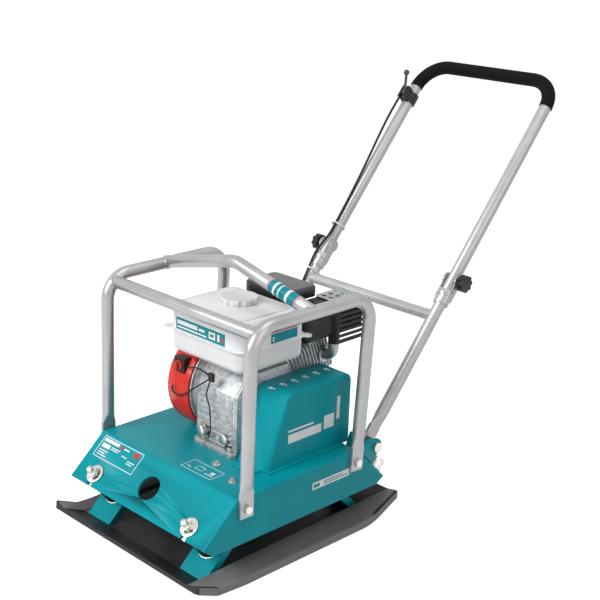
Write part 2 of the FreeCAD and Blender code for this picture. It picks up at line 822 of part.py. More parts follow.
def deck():
    """Folded steel box: flat engine bed, slanted ends, welded side skirts, open underneath."""
    half = deck_half_width
    line = [front_foot, front_top, rear_top, rear_foot]
    outer = [deck_bend_radius, deck_bend_radius]
    inner_line = offset_line(line, -deck_sheet)
    inner_radii = [deck_bend_radius - deck_sheet] * 2
    skin = bent_sheet(inner_line, inner_radii, deck_sheet, -half, half)
    skirt = [(-skirt_bottom_front, skirt_bottom), (skirt_bottom_rear, skirt_bottom)]
    skirt += [rear_foot, rear_top, front_top, front_foot]
    face = closed_profile(skirt, [0, 0, 0] + outer + [0])
    skirts = []
    for x in (-half, half - deck_sheet):
        side = face.extrude(V(deck_sheet, 0, 0))
        side.translate(V(x, 0, 0))
        skirts.append(side)
    shell = skin.fuse(skirts).removeSplitter()
    rim = [e for e in shell.Edges if abs(abs(e.CenterOfMass.x) - half) < 0.01 and on_deck_line(e)]
    shell = shell.makeFillet(side_edge_radius - 1.5, rim)
    return shell.cut(group(deck_holes()))


def on_deck_line(edge):
    """True for the outer edges where the deck's skin meets a skirt."""
    for vertex in edge.Vertexes:
        y, z = vertex.Y, vertex.Z
        limit_front = deck_top - (-deck_front_edge - y) * (deck_top - front_foot_z) / (front_foot_y
                                                                                     - deck_front_edge)
        limit_rear = deck_top - (y - deck_rear_edge) * (deck_top - rear_foot_z) / (rear_foot_y
                                                                                 - deck_rear_edge)
        if z < min(limit_front, limit_rear, deck_top) - 3.0:
            return False
    return True


def handle_lugs():
    """Two ears each side that carry the handle's pivot bolts."""
    ears = []
    for sx in (-1, 1):
        for x in (lug_inner_x, lug_outer_x - lug_sheet):
            start = lug_front if x < handle_x else deck_rear_edge - 10
            side_points = [(start, deck_rear_line(start) if start > deck_rear_edge else deck_top),
                           (pivot_y - 22, pivot_z + lug_radius + 6), (pivot_y - 4, pivot_z + lug_radius),
                           (pivot_y + lug_radius, pivot_z), (pivot_y - 8, deck_rear_line(pivot_y - 8))]
            plate = prism(side_points, 0, lug_sheet)
            plate = plate.fuse(x_cylinder(0, lug_sheet, pivot_y, pivot_z, lug_radius))
            plate.translate(V(x, 0, 0))
            if sx < 0:
                plate = plate.mirror(V(0, 0, 0), X_AXIS)
            ears.append(plate)
    drill = x_cylinder(-300, 300, pivot_y, pivot_z, pivot_bolt_radius)
    bed = rear_wedge()
    return group([ear.cut(drill).cut(bed).removeSplitter() for ear in ears])


def deck_rear_line(y):
    """Height of the rear slanted face at y."""
    return deck_top - (y - deck_rear_edge) * (deck_top - rear_foot_z) / (rear_foot_y - deck_rear_edge)


def rear_wedge():
    """The solid space under the deck's skin, from which welded pieces are trimmed."""
    return prism([(-front_foot_y, front_foot_z), front_top, rear_top, rear_foot, (rear_foot_y, 0),
                  (-front_foot_y, 0)], -300, 300)


def handle_stops():
    """Zinc-plated buffers on the rear slope, one below each arm."""
    stops = []
    for x in (-stop_x, stop_x):
        frame = slope_frame(rear_top, rear_foot, stop_drop, x)
        body = Part.makeCylinder(stop_radius, stop_height - 5).fuse(
            Part.makeCylinder(stop_radius - 2, stop_height))
        stops.append(at(body, frame))
    return group(stops)


# ================= cage =================

def cage_hoop(sx):
    """One bent tube with pressed flat feet."""
    x = sx * hoop_x
    front_foot_point = V(x, -hoop_front_foot, hoop_bolt_z)
    rear_foot_point = V(x, hoop_rear_foot, hoop_bolt_z)
    front_corner = V(x, -hoop_front_top, hoop_top)
    rear_corner = V(x, hoop_rear_top, hoop_top)
    front_up = (front_corner - front_foot_point).normalize()
    rear_up = (rear_corner - rear_foot_point).normalize()
    front_start = front_foot_point + front_up * 56
    rear_start = rear_foot_point + rear_up * 56
    hoop = tube([front_start, front_corner, rear_corner, rear_start], hoop_bend, tube_radius, tube_wall)
    front_end = flattened_end(front_start, front_foot_point, front_up.cross(X_AXIS), 22, True)
    rear_end = flattened_end(rear_start, rear_foot_point, rear_up.cross(X_AXIS), 22, True)
    hoop = hoop.fuse([front_end, rear_end])
    hoop.translate(V(sx * (deck_half_width + flat_half_thickness + 0.1 - hoop_x), 0, 0))
    drill = [x_cylinder(x - 30, x + 30, y, hoop_bolt_z, cage_bolt_radius + bolt_hole_gap)
             for y in (-hoop_front_foot, hoop_rear_foot)]
    return hoop.cut(drill)


def hoop_plane():
    """X of the middle of each hoop as it sits against the skirt."""
    return deck_half_width + flat_half_thickness + 0.1


def solid_hoop(sx):
    """The hoop's tube as a solid bar, to saddle the cross members."""
    x = sx * hoop_plane()
    points = [V(x, -hoop_front_foot, hoop_bolt_z), V(x, -hoop_front_top, hoop_top),
              V(x, hoop_rear_top, hoop_top), V(x, hoop_rear_foot, hoop_bolt_z)]
    return bar(points, hoop_bend, tube_radius)


def cage_front_bar():
    """Straight tube across the front of the cage, saddled on the bends of both hoops."""
    reach = hoop_plane()
    rail = straight_tube(V(-reach, front_bar_y, front_bar_z), V(reach, front_bar_y, front_bar_z),
                         tube_radius - 0.3, tube_wall)
    return largest(rail.cut([solid_hoop(-1), solid_hoop(1)]))


def largest(shape):
    return sorted(shape.Solids, key=lambda s: s.Volume)[-1]


def lifting_arch():
    """Bent lifting bar across the top of both hoops."""
    reach = hoop_plane()
    points = [V(-reach, arch_y, hoop_top + 2), V(0, arch_y, arch_apex), V(reach, arch_y, hoop_top + 2)]
    arch = tube(points, 60, tube_radius, tube_wall)
    return largest(arch.cut([solid_hoop(-1), solid_hoop(1)]))


def frame_bolts():
    """Bolts through the hoop feet and the handle's ears, each with its nut."""
    pieces = []
    pivot_outer = lug_outer_x + 0.1
    for sx in (-1, 1):
        near = lug_inner_x - 10
        shank = x_cylinder(near, pivot_outer, pivot_y, pivot_z, pivot_bolt_radius)
        head = x_cylinder(pivot_outer, pivot_outer + 7, pivot_y, pivot_z, 10)
        nut = x_ring(near, lug_inner_x - 0.1, pivot_y, pivot_z, 10, pivot_bolt_radius)
        for piece in (shank.fuse(head).removeSplitter(), nut):
            pieces.append(piece if sx > 0 else piece.mirror(V(0, 0, 0), X_AXIS))
    face = hoop_plane() + flat_half_thickness
    for x, y, z in cage_bolt_places():
        sx = math.copysign(1, x)
        frame = side_frame(sx * face, y, z)
        pieces.append(bolt(frame, 15, 7, cage_bolt_radius, 26))
        nut = hexagon(15, 8).cut(Part.makeCylinder(cage_bolt_radius, 8))
        nut.Placement = side_frame(sx * (deck_half_width - deck_sheet - 8), y, z)
        pieces.append(nut)
    return group(pieces)


# ================= engine =================

tilt = math.radians(cylinder_tilt)
AXIS = V(0, math.cos(tilt), math.sin(tilt))
CRANK = V(engine_x, crank_y, crank_z)


def cylinder_frame(distance):
    """+Z out along the cylinder, +X along the crankshaft, its origin on the cylinder's axis."""
    return FreeCAD.Placement(CRANK + AXIS * distance,
                             FreeCAD.Rotation(X_AXIS, AXIS.cross(X_AXIS), AXIS, "ZXY"))


def case_outline(inset):
    base = deck_top + case_base
    joint = CRANK + AXIS * (cylinder_start - inset)
    across = X_AXIS.cross(AXIS) * -(fin_reach + 3 - inset)
    upper = joint + across if across.z > 0 else joint - across
    lower = joint - across if across.z > 0 else joint + across
    return [(-case_front + inset, base + inset), (-case_front + inset, upper.z - 38),
            (-case_front + inset + 30, upper.z - inset), (upper.y, upper.z - inset),
            (lower.y - inset, lower.z), (lower.y - 12 - inset, base + inset)]


def crankcase():
    """Die-cast crankcase with a footed base, a bell for the fan housing and ribs on its front."""
    x0 = engine_x - case_half_width
    x1 = engine_x + case_half_width
    base = deck_top + case_base
    body = closed_profile(case_outline(0), [4, 8, 14, 6, 6, 4]).extrude(V(x1 - x0, 0, 0))
    body.translate(V(x0, 0, 0))
    foot = rounded_box(engine_x - flange_half_width, engine_x + flange_half_width, -flange_front,
                       flange_rear, deck_top, base, 10)
    bell = Part.makeCone(bell_radius - 24, bell_radius - 6, bell_depth - 4, V(x0, crank_y, crank_z), -X_AXIS)
    rim = Part.makeCylinder(bell_radius, 4, V(x0 - bell_depth + 4, crank_y, crank_z), -X_AXIS)
    bell = bell.fuse(rim).common(box(-300, 300, -300, 400, fan_bottom + fan_sheet + 0.5,
                                     fan_top - fan_sheet - 0.5))
    ribs = [box(x0 + 12, x1 - 6, -case_front - 3, -case_front + 2, z, z + 3)
            for z in (base + 12 + 11 * k for k in range(9))]
    casting = body.fuse([foot, bell] + ribs)
    chamber = x_cylinder(x0 + case_wall + 6, x1 + 1, crank_y, crank_z, 47)
    bearing = x_cylinder(x0 - bell_depth - 1, x0 + case_wall + 7, crank_y, crank_z, crank_bearing_radius)
    sump = box(x0 + case_wall + 6, x1 + 1, -case_front + case_wall, 88, base + case_wall, crank_z)
    opening = at(Part.makeCylinder(bore_radius, cylinder_start), cylinder_frame(0))
    casting = casting.cut([chamber, bearing, sump, opening])
    for x, y in engine_bolt_places():
        casting = casting.cut(z_cylinder(x, y, deck_top - 1, base + 1, engine_bolt_radius + bolt_hole_gap))
    for x, y in engine_bolt_places()[::2]:
        casting = casting.cut(box(x - 11, x + 11, y - 40, y + 11, base, base + 11))
    for x in (engine_x - 30, engine_x + 30):
        casting = casting.cut(Part.makeCylinder(8, 14, V(x, -case_front - 4, base + 22), Y_AXIS))
    return largest(casting.removeSplitter())


def crankcase_cover():
    """Side cover that carries the output bearing."""
    x0 = engine_x + case_half_width
    cover = closed_profile(case_outline(0), [4, 8, 14, 6, 6, 4]).extrude(V(6, 0, 0))
    cover.translate(V(x0, 0, 0))
    pocket = x_cylinder(x0 - crank_bearing_width, x0, crank_y, crank_z, crank_bearing_radius + 6)
    cover = cover.fuse(pocket)
    bore = x_cylinder(x0 - crank_bearing_width - 1, x0 + 2, crank_y, crank_z, crank_bearing_radius)
    seal = x_cylinder(x0 - 1, x0 + 20, crank_y, crank_z, crank_radius + clearance)
    return cover.cut([bore, seal]).removeSplitter()


def crankshaft():
    """Two journals, two webs with counterweights and the crankpin between them."""
    end = belt_x + belt_width / 2 + pulley_cheek + clearance
    start = engine_x - case_half_width - bell_depth - fan_depth + 14
    web_a = engine_x - 26
    web_b = engine_x + 14
    left = x_cylinder(start, web_a + 12, crank_y, crank_z, crank_radius)
    right = x_cylinder(web_b, end, crank_y, crank_z, crank_radius)
    pin = x_cylinder(web_a, web_b + 12, crank_y, crank_z + crank_throw, 12)
    webs = []
    for x in (web_a, web_b):
        web = x_cylinder(x, x + 12, crank_y, crank_z, 42)
        slim = box(x, x + 12, crank_y - 17, crank_y + 17, crank_z - 10, crank_z + crank_throw + 18)
        heavy = web.common(box(x - 1, x + 13, crank_y - 50, crank_y + 50, crank_z - 50, crank_z))
        webs += [heavy, slim.common(web)]
    return left.fuse([right, pin] + webs).removeSplitter()


def flywheel():
    """Cast flywheel with its ring of fan blades facing the starter."""
    x1 = engine_x - case_half_width - bell_depth - 6
    x0 = x1 - 16
    disc = x_cylinder(x0, x1, crank_y, crank_z, flywheel_radius)
    rim = x_ring(x0 - 6, x0, crank_y, crank_z, flywheel_radius, flywheel_radius - 34)
    blades = []
    for k in range(16):
        blade = box(x0 - 20, x0, crank_y - 1.2, crank_y + 1.2, crank_z + flywheel_radius - 32,
                    crank_z + flywheel_radius - 1)
        blade.rotate(V(0, crank_y, crank_z), X_AXIS, 360 / 16 * k)
        blades.append(blade)
    bore = x_cylinder(x0 - 20, x1 + 20, crank_y, crank_z, crank_radius)
    return disc.fuse([rim] + blades).cut(bore).removeSplitter()


def fin_plate(z, half_x, half_y, radius):
    plate = box(-half_x, half_x, -half_y, half_y, z, z + fin_thickness)
    upright = [e for e in plate.Edges if abs(e.tangentAt(e.FirstParameter).z) > 0.9]
    return plate.makeFillet(radius, upright)


def cylinder():
    """Finned barrel, bored through."""
    core = Part.makeCylinder(cylinder_core + 5, cylinder_length)
    pitch = (cylinder_length - fin_thickness - 6) / (fin_count - 1)
    fins = [fin_plate(3 + pitch * k, fin_reach, fin_reach, 14) for k in range(fin_count)]
    ends = [box(-fin_reach + 4, fin_reach - 4, -fin_reach + 4, fin_reach - 4, z, z + 5)
            for z in (0, cylinder_length - 5)]
    body = core.fuse(fins + ends).cut(Part.makeCylinder(bore_radius, cylinder_length))
    return at(body.removeSplitter(), cylinder_frame(cylinder_start))


def cylinder_head():
    """Head with coarse fins round a solid core."""
    core = box(-head_core, head_core, -head_core, head_core, 0, head_length)
    pitch = (head_length - fin_thickness - 4) / (head_fin_count - 1)
    fins = [fin_plate(2 + pitch * k, fin_reach, fin_reach, 16) for k in range(head_fin_count)]
    port = box(head_core, fin_reach, -14, 14, 10, 38)
    intake = box(-fin_reach, -head_core, -16, 16, 8, 40)
    body = core.fuse(fins + [port, intake])
    body = body.cut([Part.makeCylinder(11, fin_reach + 2, V(0, 0, 24), X_AXIS),
                     Part.makeCylinder(7, head_length + 2, V(plug_x, -plug_rise, 10), Z_AXIS)])
    return at(body.removeSplitter(), cylinder_frame(cylinder_start + cylinder_length))


def rocker_cover():
    """Pressed cover over the valve gear."""
    cover = box(-head_core, rocker_side, -rocker_half_height, rocker_half_height, 0, rocker_length)
    top = [e for e in cover.Edges if e.CenterOfMass.z > 0.1]
    cover = cover.makeFillet(9, top)
    hollow = box(-head_core + 3, rocker_side - 3, -rocker_half_height + 3, rocker_half_height - 3, -1,
                 rocker_length - 3)
    rim = box(-head_core - 3, rocker_side + 2, -rocker_half_height - 4, rocker_half_height + 4, 0, 3)
    body = cover.fuse(rim).cut(hollow)
    return at(body.removeSplitter(), cylinder_frame(cylinder_start + cylinder_length + head_length))


def spark_plug():
    plug = Part.makeCylinder(7, head_length - 10, V(plug_x, -plug_rise, 10), Z_AXIS)
    hexa = hexagon(16, 8)
    hexa.translate(V(plug_x, -plug_rise, head_length))
    insulator = Part.makeCylinder(4.5, 18, V(plug_x, -plug_rise, head_length + 8), Z_AXIS)
    return at(plug.fuse([hexa, insulator]).removeSplitter(), cylinder_frame(cylinder_start + cylinder_length))


def plug_cap():
    """Moulded elbow cap on the plug."""
    z = head_length + 8 + clearance
    sleeve = Part.makeCylinder(8.5, 26, V(plug_x, -plug_rise, z), Z_AXIS)
    elbow = Part.makeCylinder(6.5, 22, V(plug_x, -plug_rise, z + 17.5), X_AXIS)
    body = sleeve.fuse(elbow).cut(Part.makeCylinder(4.5, 19, V(plug_x, -plug_rise, z - 1), Z_AXIS))
    return at(body.removeSplitter(), cylinder_frame(cylinder_start + cylinder_length))


fan_x1 = engine_x - case_half_width - bell_depth
fan_x0 = fan_x1 - fan_depth


def fan_solid(inset):
    """The blower housing's scroll and its duct towards the cylinder."""
    scroll = x_cylinder(fan_x0 + inset, fan_x1, crank_y, crank_z, fan_radius - inset)
    duct = box(fan_x0 + inset, fan_x1, crank_y, crank_y + fan_duct_reach - inset,
               fan_duct_bottom + inset, fan_top - inset)
    limits = box(fan_x0, fan_x1, -300, 400, fan_bottom + inset, fan_top - inset)
    return scroll.fuse(duct).common(limits).removeSplitter()


def fan_housing():
    """Pressed blower housing, open at the engine and under the recoil starter."""
    shell = fan_solid(0).cut(fan_solid(fan_sheet))
    inlet = x_cylinder(fan_x0 - 1, fan_x0 + 10, crank_y, crank_z, recoil_radius - 12)
    return shell.cut(inlet)


def recoil_cover():
    """Dished starter cover with air slots."""
    x1 = fan_x0
    x0 = x1 - recoil_depth
    dish = x_cylinder(x0, x1, crank_y, crank_z, recoil_radius)
    rim = [e for e in dish.Edges if abs(e.CenterOfMass.x - x0) < 0.01]
    dish = dish.makeFillet(8, rim)
    hollow = x_cylinder(x0 + 2.5, x1 + 1, crank_y, crank_z, recoil_radius - 2.5)
    shell = dish.cut(hollow)
    slots = []
    for k in range(12):
        slot = box(x0 - 1, x0 + 6, crank_y - 3, crank_y + 3, crank_z + reel_radius + 4,
                   crank_z + recoil_radius - 12)
        slot.rotate(V(0, crank_y, crank_z), X_AXIS, 30 * k + 15)
        slots.append(slot)
    post = x_cylinder(x0 + 1, x0 + 14, crank_y, crank_z, 9)
    low = rope_exit - 7
    eyelet = z_cylinder(rope_x, rope_y, low, rope_exit + 3, rope_bush_radius)
    flange = z_cylinder(rope_x, rope_y, rope_exit + 1, rope_exit + 3, rope_bush_radius + 3)
    shell = shell.cut(slots).fuse([post, eyelet, flange])
    return shell.cut(z_cylinder(rope_x, rope_y, low - 1, rope_exit + 5, rope_radius + clearance)).removeSplitter()


rope_x = fan_x0 - recoil_depth / 2
rope_y = crank_y + reel_radius
rope_exit = crank_z + math.sqrt(recoil_radius ** 2 - reel_radius ** 2)


def starter_rope():
    """The straight length of rope from the reel up to the grip."""
    return z_cylinder(rope_x, rope_y, rope_exit - 20, rope_exit + 12, rope_radius)


def pull_grip():
    """Moulded tee grip, hollow over the rope's knot."""
    base = rope_exit + 7
    stem = z_cylinder(rope_x, rope_y, base, base + 16, 8)
    handle = Part.makeCylinder(grip_radius, 2 * grip_half_length,
                               V(rope_x, rope_y - grip_half_length, base + 20), Y_AXIS)
    ends = [e for e in handle.Edges if e.Closed]
    handle = handle.makeFillet(5, ends)
    return stem.fuse(handle).cut(z_cylinder(rope_x, rope_y, base - 1, rope_exit + 12, rope_radius))


# ---- tank ----

def tank_block(inset):
    """The tank's two pressed halves as one body with soft corners."""
    block = rounded_box(tank_x0 + inset, tank_x1 - inset, tank_y0 + inset, tank_y1 - inset,
                        tank_bottom + inset, tank_top - inset, tank_corner - inset)
    rims = [e for e in block.Edges if abs(e.tangentAt(e.FirstParameter).z) < 0.1]
    return block.makeFillet(14 - inset, rims)


def fuel_tank():
    """Pressed tank with a welded seam flange, two ears and a filler neck."""
    body = tank_block(0)
    seam = rounded_box(tank_x0 - seam_reach, tank_x1 + seam_reach, tank_y0 - seam_reach,
                       tank_y1 + seam_reach, tank_seam, tank_seam + seam_thickness,
                       tank_corner + seam_reach)
    ears = [z_cylinder(x, y, tank_seam, tank_seam + seam_thickness, 10)
            for x, y in ((tank_x0 - 2, tank_y0 + 2), (tank_x1 + 2, tank_y1 - 2))]
    raised = rounded_box(tank_x0 + 22, tank_x1 - 22, tank_y0 + 18, tank_y1 - 18, tank_top - 2,
                         tank_top + 2, 16)
    neck = z_cylinder(cap_x, cap_y, tank_top - 2, tank_top + 2 + neck_height, neck_radius)
    shell = body.fuse([seam] + ears + [raised, neck]).cut(tank_block(tank_wall))
    shell = shell.cut(z_cylinder(cap_x, cap_y, tank_top - 10, tank_top + 20, neck_radius - 3))
    return largest(shell.removeSplitter())


def fuel_cap():
    """Cap with a scalloped skirt and a domed top."""
    base = tank_top + 2 + clearance
    cap = z_cylinder(cap_x, cap_y, base, base + cap_height, cap_radius)
    top = [e for e in cap.Edges if abs(e.CenterOfMass.z - base - cap_height) < 0.01]
    cap = cap.makeFillet(4, top)
    scallops = []
    count = 10
    for k in range(count):
        angle = 2 * math.pi / count * k
        x = cap_x + (cap_radius + 6) * math.cos(angle)
        y = cap_y + (cap_radius + 6) * math.sin(angle)
        scallops.append(z_cylinder(x, y, base - 1, base + cap_height + 1, 9))
    socket = z_cylinder(cap_x, cap_y, base - 1, base + neck_height + 1, neck_radius + clearance)
    return cap.cut(scallops + [socket]).removeSplitter()


def tank_brackets():
    """Folded straps that carry the tank on the crankcase and the fan housing."""
    top = tank_bottom - 0.2
    case_top = max(z for _, z in case_outline(0))
    straps = []
    for y in (-6, 46):
        straps.append(box(engine_x - 30, engine_x + 30, y, y + 18, case_top, case_top + 3).fuse(
            [box(engine_x - 30, engine_x - 27, y, y + 18, case_top, top),
             box(engine_x - 30, engine_x + 30, y, y + 18, top - 3, top)]).removeSplitter())
    return group(straps)


# ---- intake and exhaust ----

def air_cleaner_base():
    """Moulded cleaner body with a duct down to the carburettor."""
    body = rounded_box(cleaner_x0 + 4, cleaner_base_x1, cleaner_y0 + 4, cleaner_y1 - 4,
                       cleaner_base_bottom, cleaner_lid_bottom, 12)
    hollow = rounded_box(cleaner_x0 + 7, cleaner_base_x1 - 3, cleaner_y0 + 7, cleaner_y1 - 7,
                         cleaner_base_bottom + 3, cleaner_lid_bottom + 5, 9)
    duct = z_cylinder(carb_x, carb_y, carb_top, cleaner_base_bottom + 3, 17)
    bore = z_cylinder(carb_x, carb_y, carb_top - 1, cleaner_base_bottom + 10, 13)
    return body.fuse(duct).cut([hollow, bore]).removeSplitter()


def air_filter():
    """The foam ring inside the cleaner."""
    x = (cleaner_x0 + 7 + cleaner_base_x1 - 3) / 2
    y = (cleaner_y0 + cleaner_y1) / 2
    low = cleaner_base_bottom + 3 + clearance
    ring = z_cylinder(x, y, low, cleaner_lid_bottom + 6, 28)
    return ring.cut(z_cylinder(x, y, low - 1, cleaner_lid_bottom + 7, 18))


def air_cleaner_lid():
    lid = rounded_box(cleaner_x0, cleaner_x1, cleaner_y0, cleaner_y1, cleaner_lid_bottom,
                      cleaner_lid_top, 16)
    top = [e for e in lid.Edges if abs(e.CenterOfMass.z - cleaner_lid_top) < 0.01]
    lid = lid.makeFillet(6, top)
    hollow = rounded_box(cleaner_x0 + 6, cleaner_x1 - 6, cleaner_y0 + 6, cleaner_y1 - 6,
                         cleaner_lid_bottom - 1, cleaner_lid_top - 10, 10)
    return lid.cut(hollow)


carb_x = engine_x - fin_reach - 4 - 20
head_middle = CRANK + AXIS * (cylinder_start + cylinder_length + 24)
carb_y = head_middle.y
carb_top = head_middle.z + 24


def carburettor():
    """Float-bowl carburettor on the head's intake port."""
    centre = head_middle
    port = engine_x - fin_reach
    flange = box(port - 6, port, centre.y - 20, centre.y + 20, centre.z - 15, centre.z + 15)
    throat = x_cylinder(carb_x - 18, port - 3, centre.y, centre.z, 13)
    riser = z_cylinder(carb_x, carb_y, centre.z - 2, carb_top, 16)
    bowl = z_cylinder(carb_x, carb_y, centre.z - 36, centre.z - 1, 19)
    bore = x_cylinder(carb_x, port + 1, centre.y, centre.z, 9)
    bore_up = z_cylinder(carb_x, carb_y, centre.z, carb_top + 1, 9)
    return flange.fuse([throat, riser, bowl]).cut([bore, bore_up]).removeSplitter()


def exhaust_elbow():
    """Bent pipe from the head's exhaust port up into the muffler."""
    centre = head_middle
    start = V(engine_x + fin_reach, centre.y, centre.z)
    corner = V(muffler_x1 - 22, centre.y, centre.z)
    end = V(muffler_x1 - 22, centre.y, muffler_bottom)
    pipe = tube([start, corner, end], 20, 11, 2)
    flange = Part.makeCylinder(17, 5, start, X_AXIS).cut(Part.makeCylinder(9, 5, start, X_AXIS))
    return pipe.fuse(flange).removeSplitter()


def muffler():
    """Pressed steel box with rounded ends, its inlet below and its outlet at the side."""
    def block(inset):
        shape = box(muffler_x0 + inset, muffler_x1 - inset, muffler_y0 + inset, muffler_y1 - inset,
                    muffler_bottom + inset, muffler_top - inset)
        return shape.makeFillet(muffler_corner - inset, shape.Edges)
    shell = block(0).cut(block(2))
    inlet = z_cylinder(muffler_x1 - 22, head_middle.y, muffler_bottom - 1, muffler_bottom + 12, 9)
    outlet = x_cylinder(muffler_x1 - 12, muffler_x1 + 1, (muffler_guard_y0 + muffler_y1) / 2,
                        (muffler_bottom + muffler_top) / 2, 9)
    return shell.cut([inlet, outlet])


def muffler_guard():
    """Louvred sheet over the muffler's outer side, curved in at its rear."""
    outer = [(muffler_x1 + 1 - 8, muffler_guard_y0), (muffler_guard_x, muffler_guard_y0 + 8),
             (muffler_guard_x, muffler_guard_y1 - 11), (muffler_guard_x - 11, muffler_guard_y1)]
    points = [V(x, y, muffler_guard_bottom) for x, y in outer]
    path = Part.Wire(rounded_edges(points, [4, 10]))
    inner = [V(p.x - 2, p.y - (2 if k == 3 else 0), p.z) for k, p in enumerate(points)]
    inner[0] = V(points[0].x - 1.4, points[0].y + 1.4, points[0].z)
    edges = path.Edges + [Part.LineSegment(points[-1], inner[-1]).toShape()]
    edges += rounded_edges(inner[::-1], [8, 3])
    edges.append(Part.LineSegment(inner[0], points[0]).toShape())
    height = muffler_guard_top - muffler_guard_bottom
    sheet = Part.Face(Part.Wire(edges)).extrude(V(0, 0, height))
    pitch = (height - 20) / (louvre_count - 1)
    slots = [box(muffler_guard_x - 12, muffler_guard_x + 5, muffler_guard_y0 + 16, muffler_guard_y1 - 26,
                 muffler_guard_bottom + 8 + pitch * k, muffler_guard_bottom + 12 + pitch * k)
             for k in range(louvre_count)]
    return sheet.cut(slots).cut(muffler_block_trim()).removeSplitter()


def muffler_block_trim():
    shape = box(muffler_x0, muffler_x1, muffler_y0, muffler_y1, muffler_bottom, muffler_top)
    return shape.makeFillet(muffler_corner, shape.Edges)


def heat_shield():
    """Perforated plate above the muffler."""
    z = muffler_top + 1
    plate = rounded_box(muffler_x0 + 6, muffler_guard_x - 3, cleaner_y1 + 4, muffler_guard_y1 - 4, z,
                        z + 2, 12)
    holes = [z_cylinder(x, y, z - 1, z + 3, 5) for x in (48, 66, 84, 100) for y in (206, 226, 246)]
    feet = [z_cylinder(x, y, muffler_top, z, 5) for x in (57, 92) for y in (216, 236)]
    return plate.cut(holes).fuse(feet).removeSplitter()


# ---- small engine pieces ----

def deck_bolts():
    """Bolts of the engine, the guard, the deck and the exciter, with the nuts that show below."""
    pieces = []
    for x, y in engine_bolt_places():
        pieces.append(bolt(up_frame(x, y, deck_top + case_base), 13, 6, engine_bolt_radius, 32))
        nut = hexagon(13, 7).cut(Part.makeCylinder(engine_bolt_radius, 7))
        nut.translate(V(x, y, deck_top - deck_sheet - 7))
        pieces.append(nut)
    exciter_top = plate_thickness + exciter_foot_thickness
    for x in (-exciter_bolt_x, exciter_bolt_x):
        for y in (exciter_y - exciter_bolt_y, exciter_y + exciter_bolt_y):
            pieces.append(bolt(up_frame(x, y, exciter_top), 16, 8, 5, exciter_foot_thickness + 5))
    places = [(x, y, deck_top + guard_sheet) for x, y in guard_bolt_places()]
    places += [(x, y, deck_top) for x, y in deck_bolt_places()]
    for x, y, z in places:
        head = bolt(up_frame(x, y, z + 1.6), 10, 5, 3, 20)
        washer = z_cylinder(x, y, z, z + 1.6, 9)
        pieces.append(head.fuse(washer).removeSplitter())
    return group(pieces)


def oil_plugs():
    """Filler cap and drain plug in the front of the crankcase, and the exciter's plug."""
    z = deck_top + case_base + 22
    pieces = [exciter_oil_plug()]
    for x, radius, height in ((engine_x - 30, 12, 12), (engine_x + 30, 10, 6)):
        y = -case_front - 3
        shank = Part.makeCylinder(8 - 0.1, 10, V(x, y, z), Y_AXIS)
        head = Part.makeCylinder(radius, height, V(x, y, z), -Y_AXIS)
        pieces.append(shank.fuse(head).removeSplitter())
    return group(pieces)


switch_x = fan_x0 + fan_depth / 2
switch_y = crank_y - math.sqrt(fan_radius ** 2 - (fan_top - crank_z - switch_drop) ** 2) + switch_inset
switch_z = fan_top - switch_drop


def switch_box():
    """Ignition switch housing on the front of the blower housing."""
    half = switch_size / 2
    block = box(switch_x - half, switch_x + half, switch_y - switch_depth, switch_y + 30,
                switch_z - half, switch_z + half)
    block = block.cut(fan_cutter())
    return block.cut(y_cylinder(switch_x, switch_y - switch_depth - 1, switch_y - switch_depth + 4,
                                switch_z, switch_knob_radius + clearance))


def fan_cutter():
    """The blower housing's whole outline, from which pieces seated on it are trimmed."""
    return fan_solid(0)


def y_cylinder(x, y0, y1, z, radius):
    return Part.makeCylinder(radius, y1 - y0, V(x, y0, z), Y_AXIS)


def engine_switch():
    """Round ignition knob with a raised bar."""
    face = switch_y - switch_depth
    disc = y_cylinder(switch_x, face - 3, face + 4 - clearance, switch_z, switch_knob_radius)
    wing = box(switch_x - 2.5, switch_x + 2.5, face - 9, face - 3, switch_z - switch_knob_radius + 2,
               switch_z + switch_knob_radius - 2)
    return disc.fuse(wing).removeSplitter()


def handle_point(r, b=0.0, x=handle_x):
    """A point r along the handle from its pivot and b in front of it."""
    angle = math.radians(handle_tilt)
    return V(x, pivot_y + r * math.cos(angle) - b * math.sin(angle),
             pivot_z + r * math.sin(angle) + b * math.cos(angle))


HANDLE_UP = V(0, math.cos(math.radians(handle_tilt)), math.sin(math.radians(handle_tilt)))
HANDLE_FRONT = V(0, -math.sin(math.radians(handle_tilt)), math.cos(math.radians(handle_tilt)))


# ================= handle =================

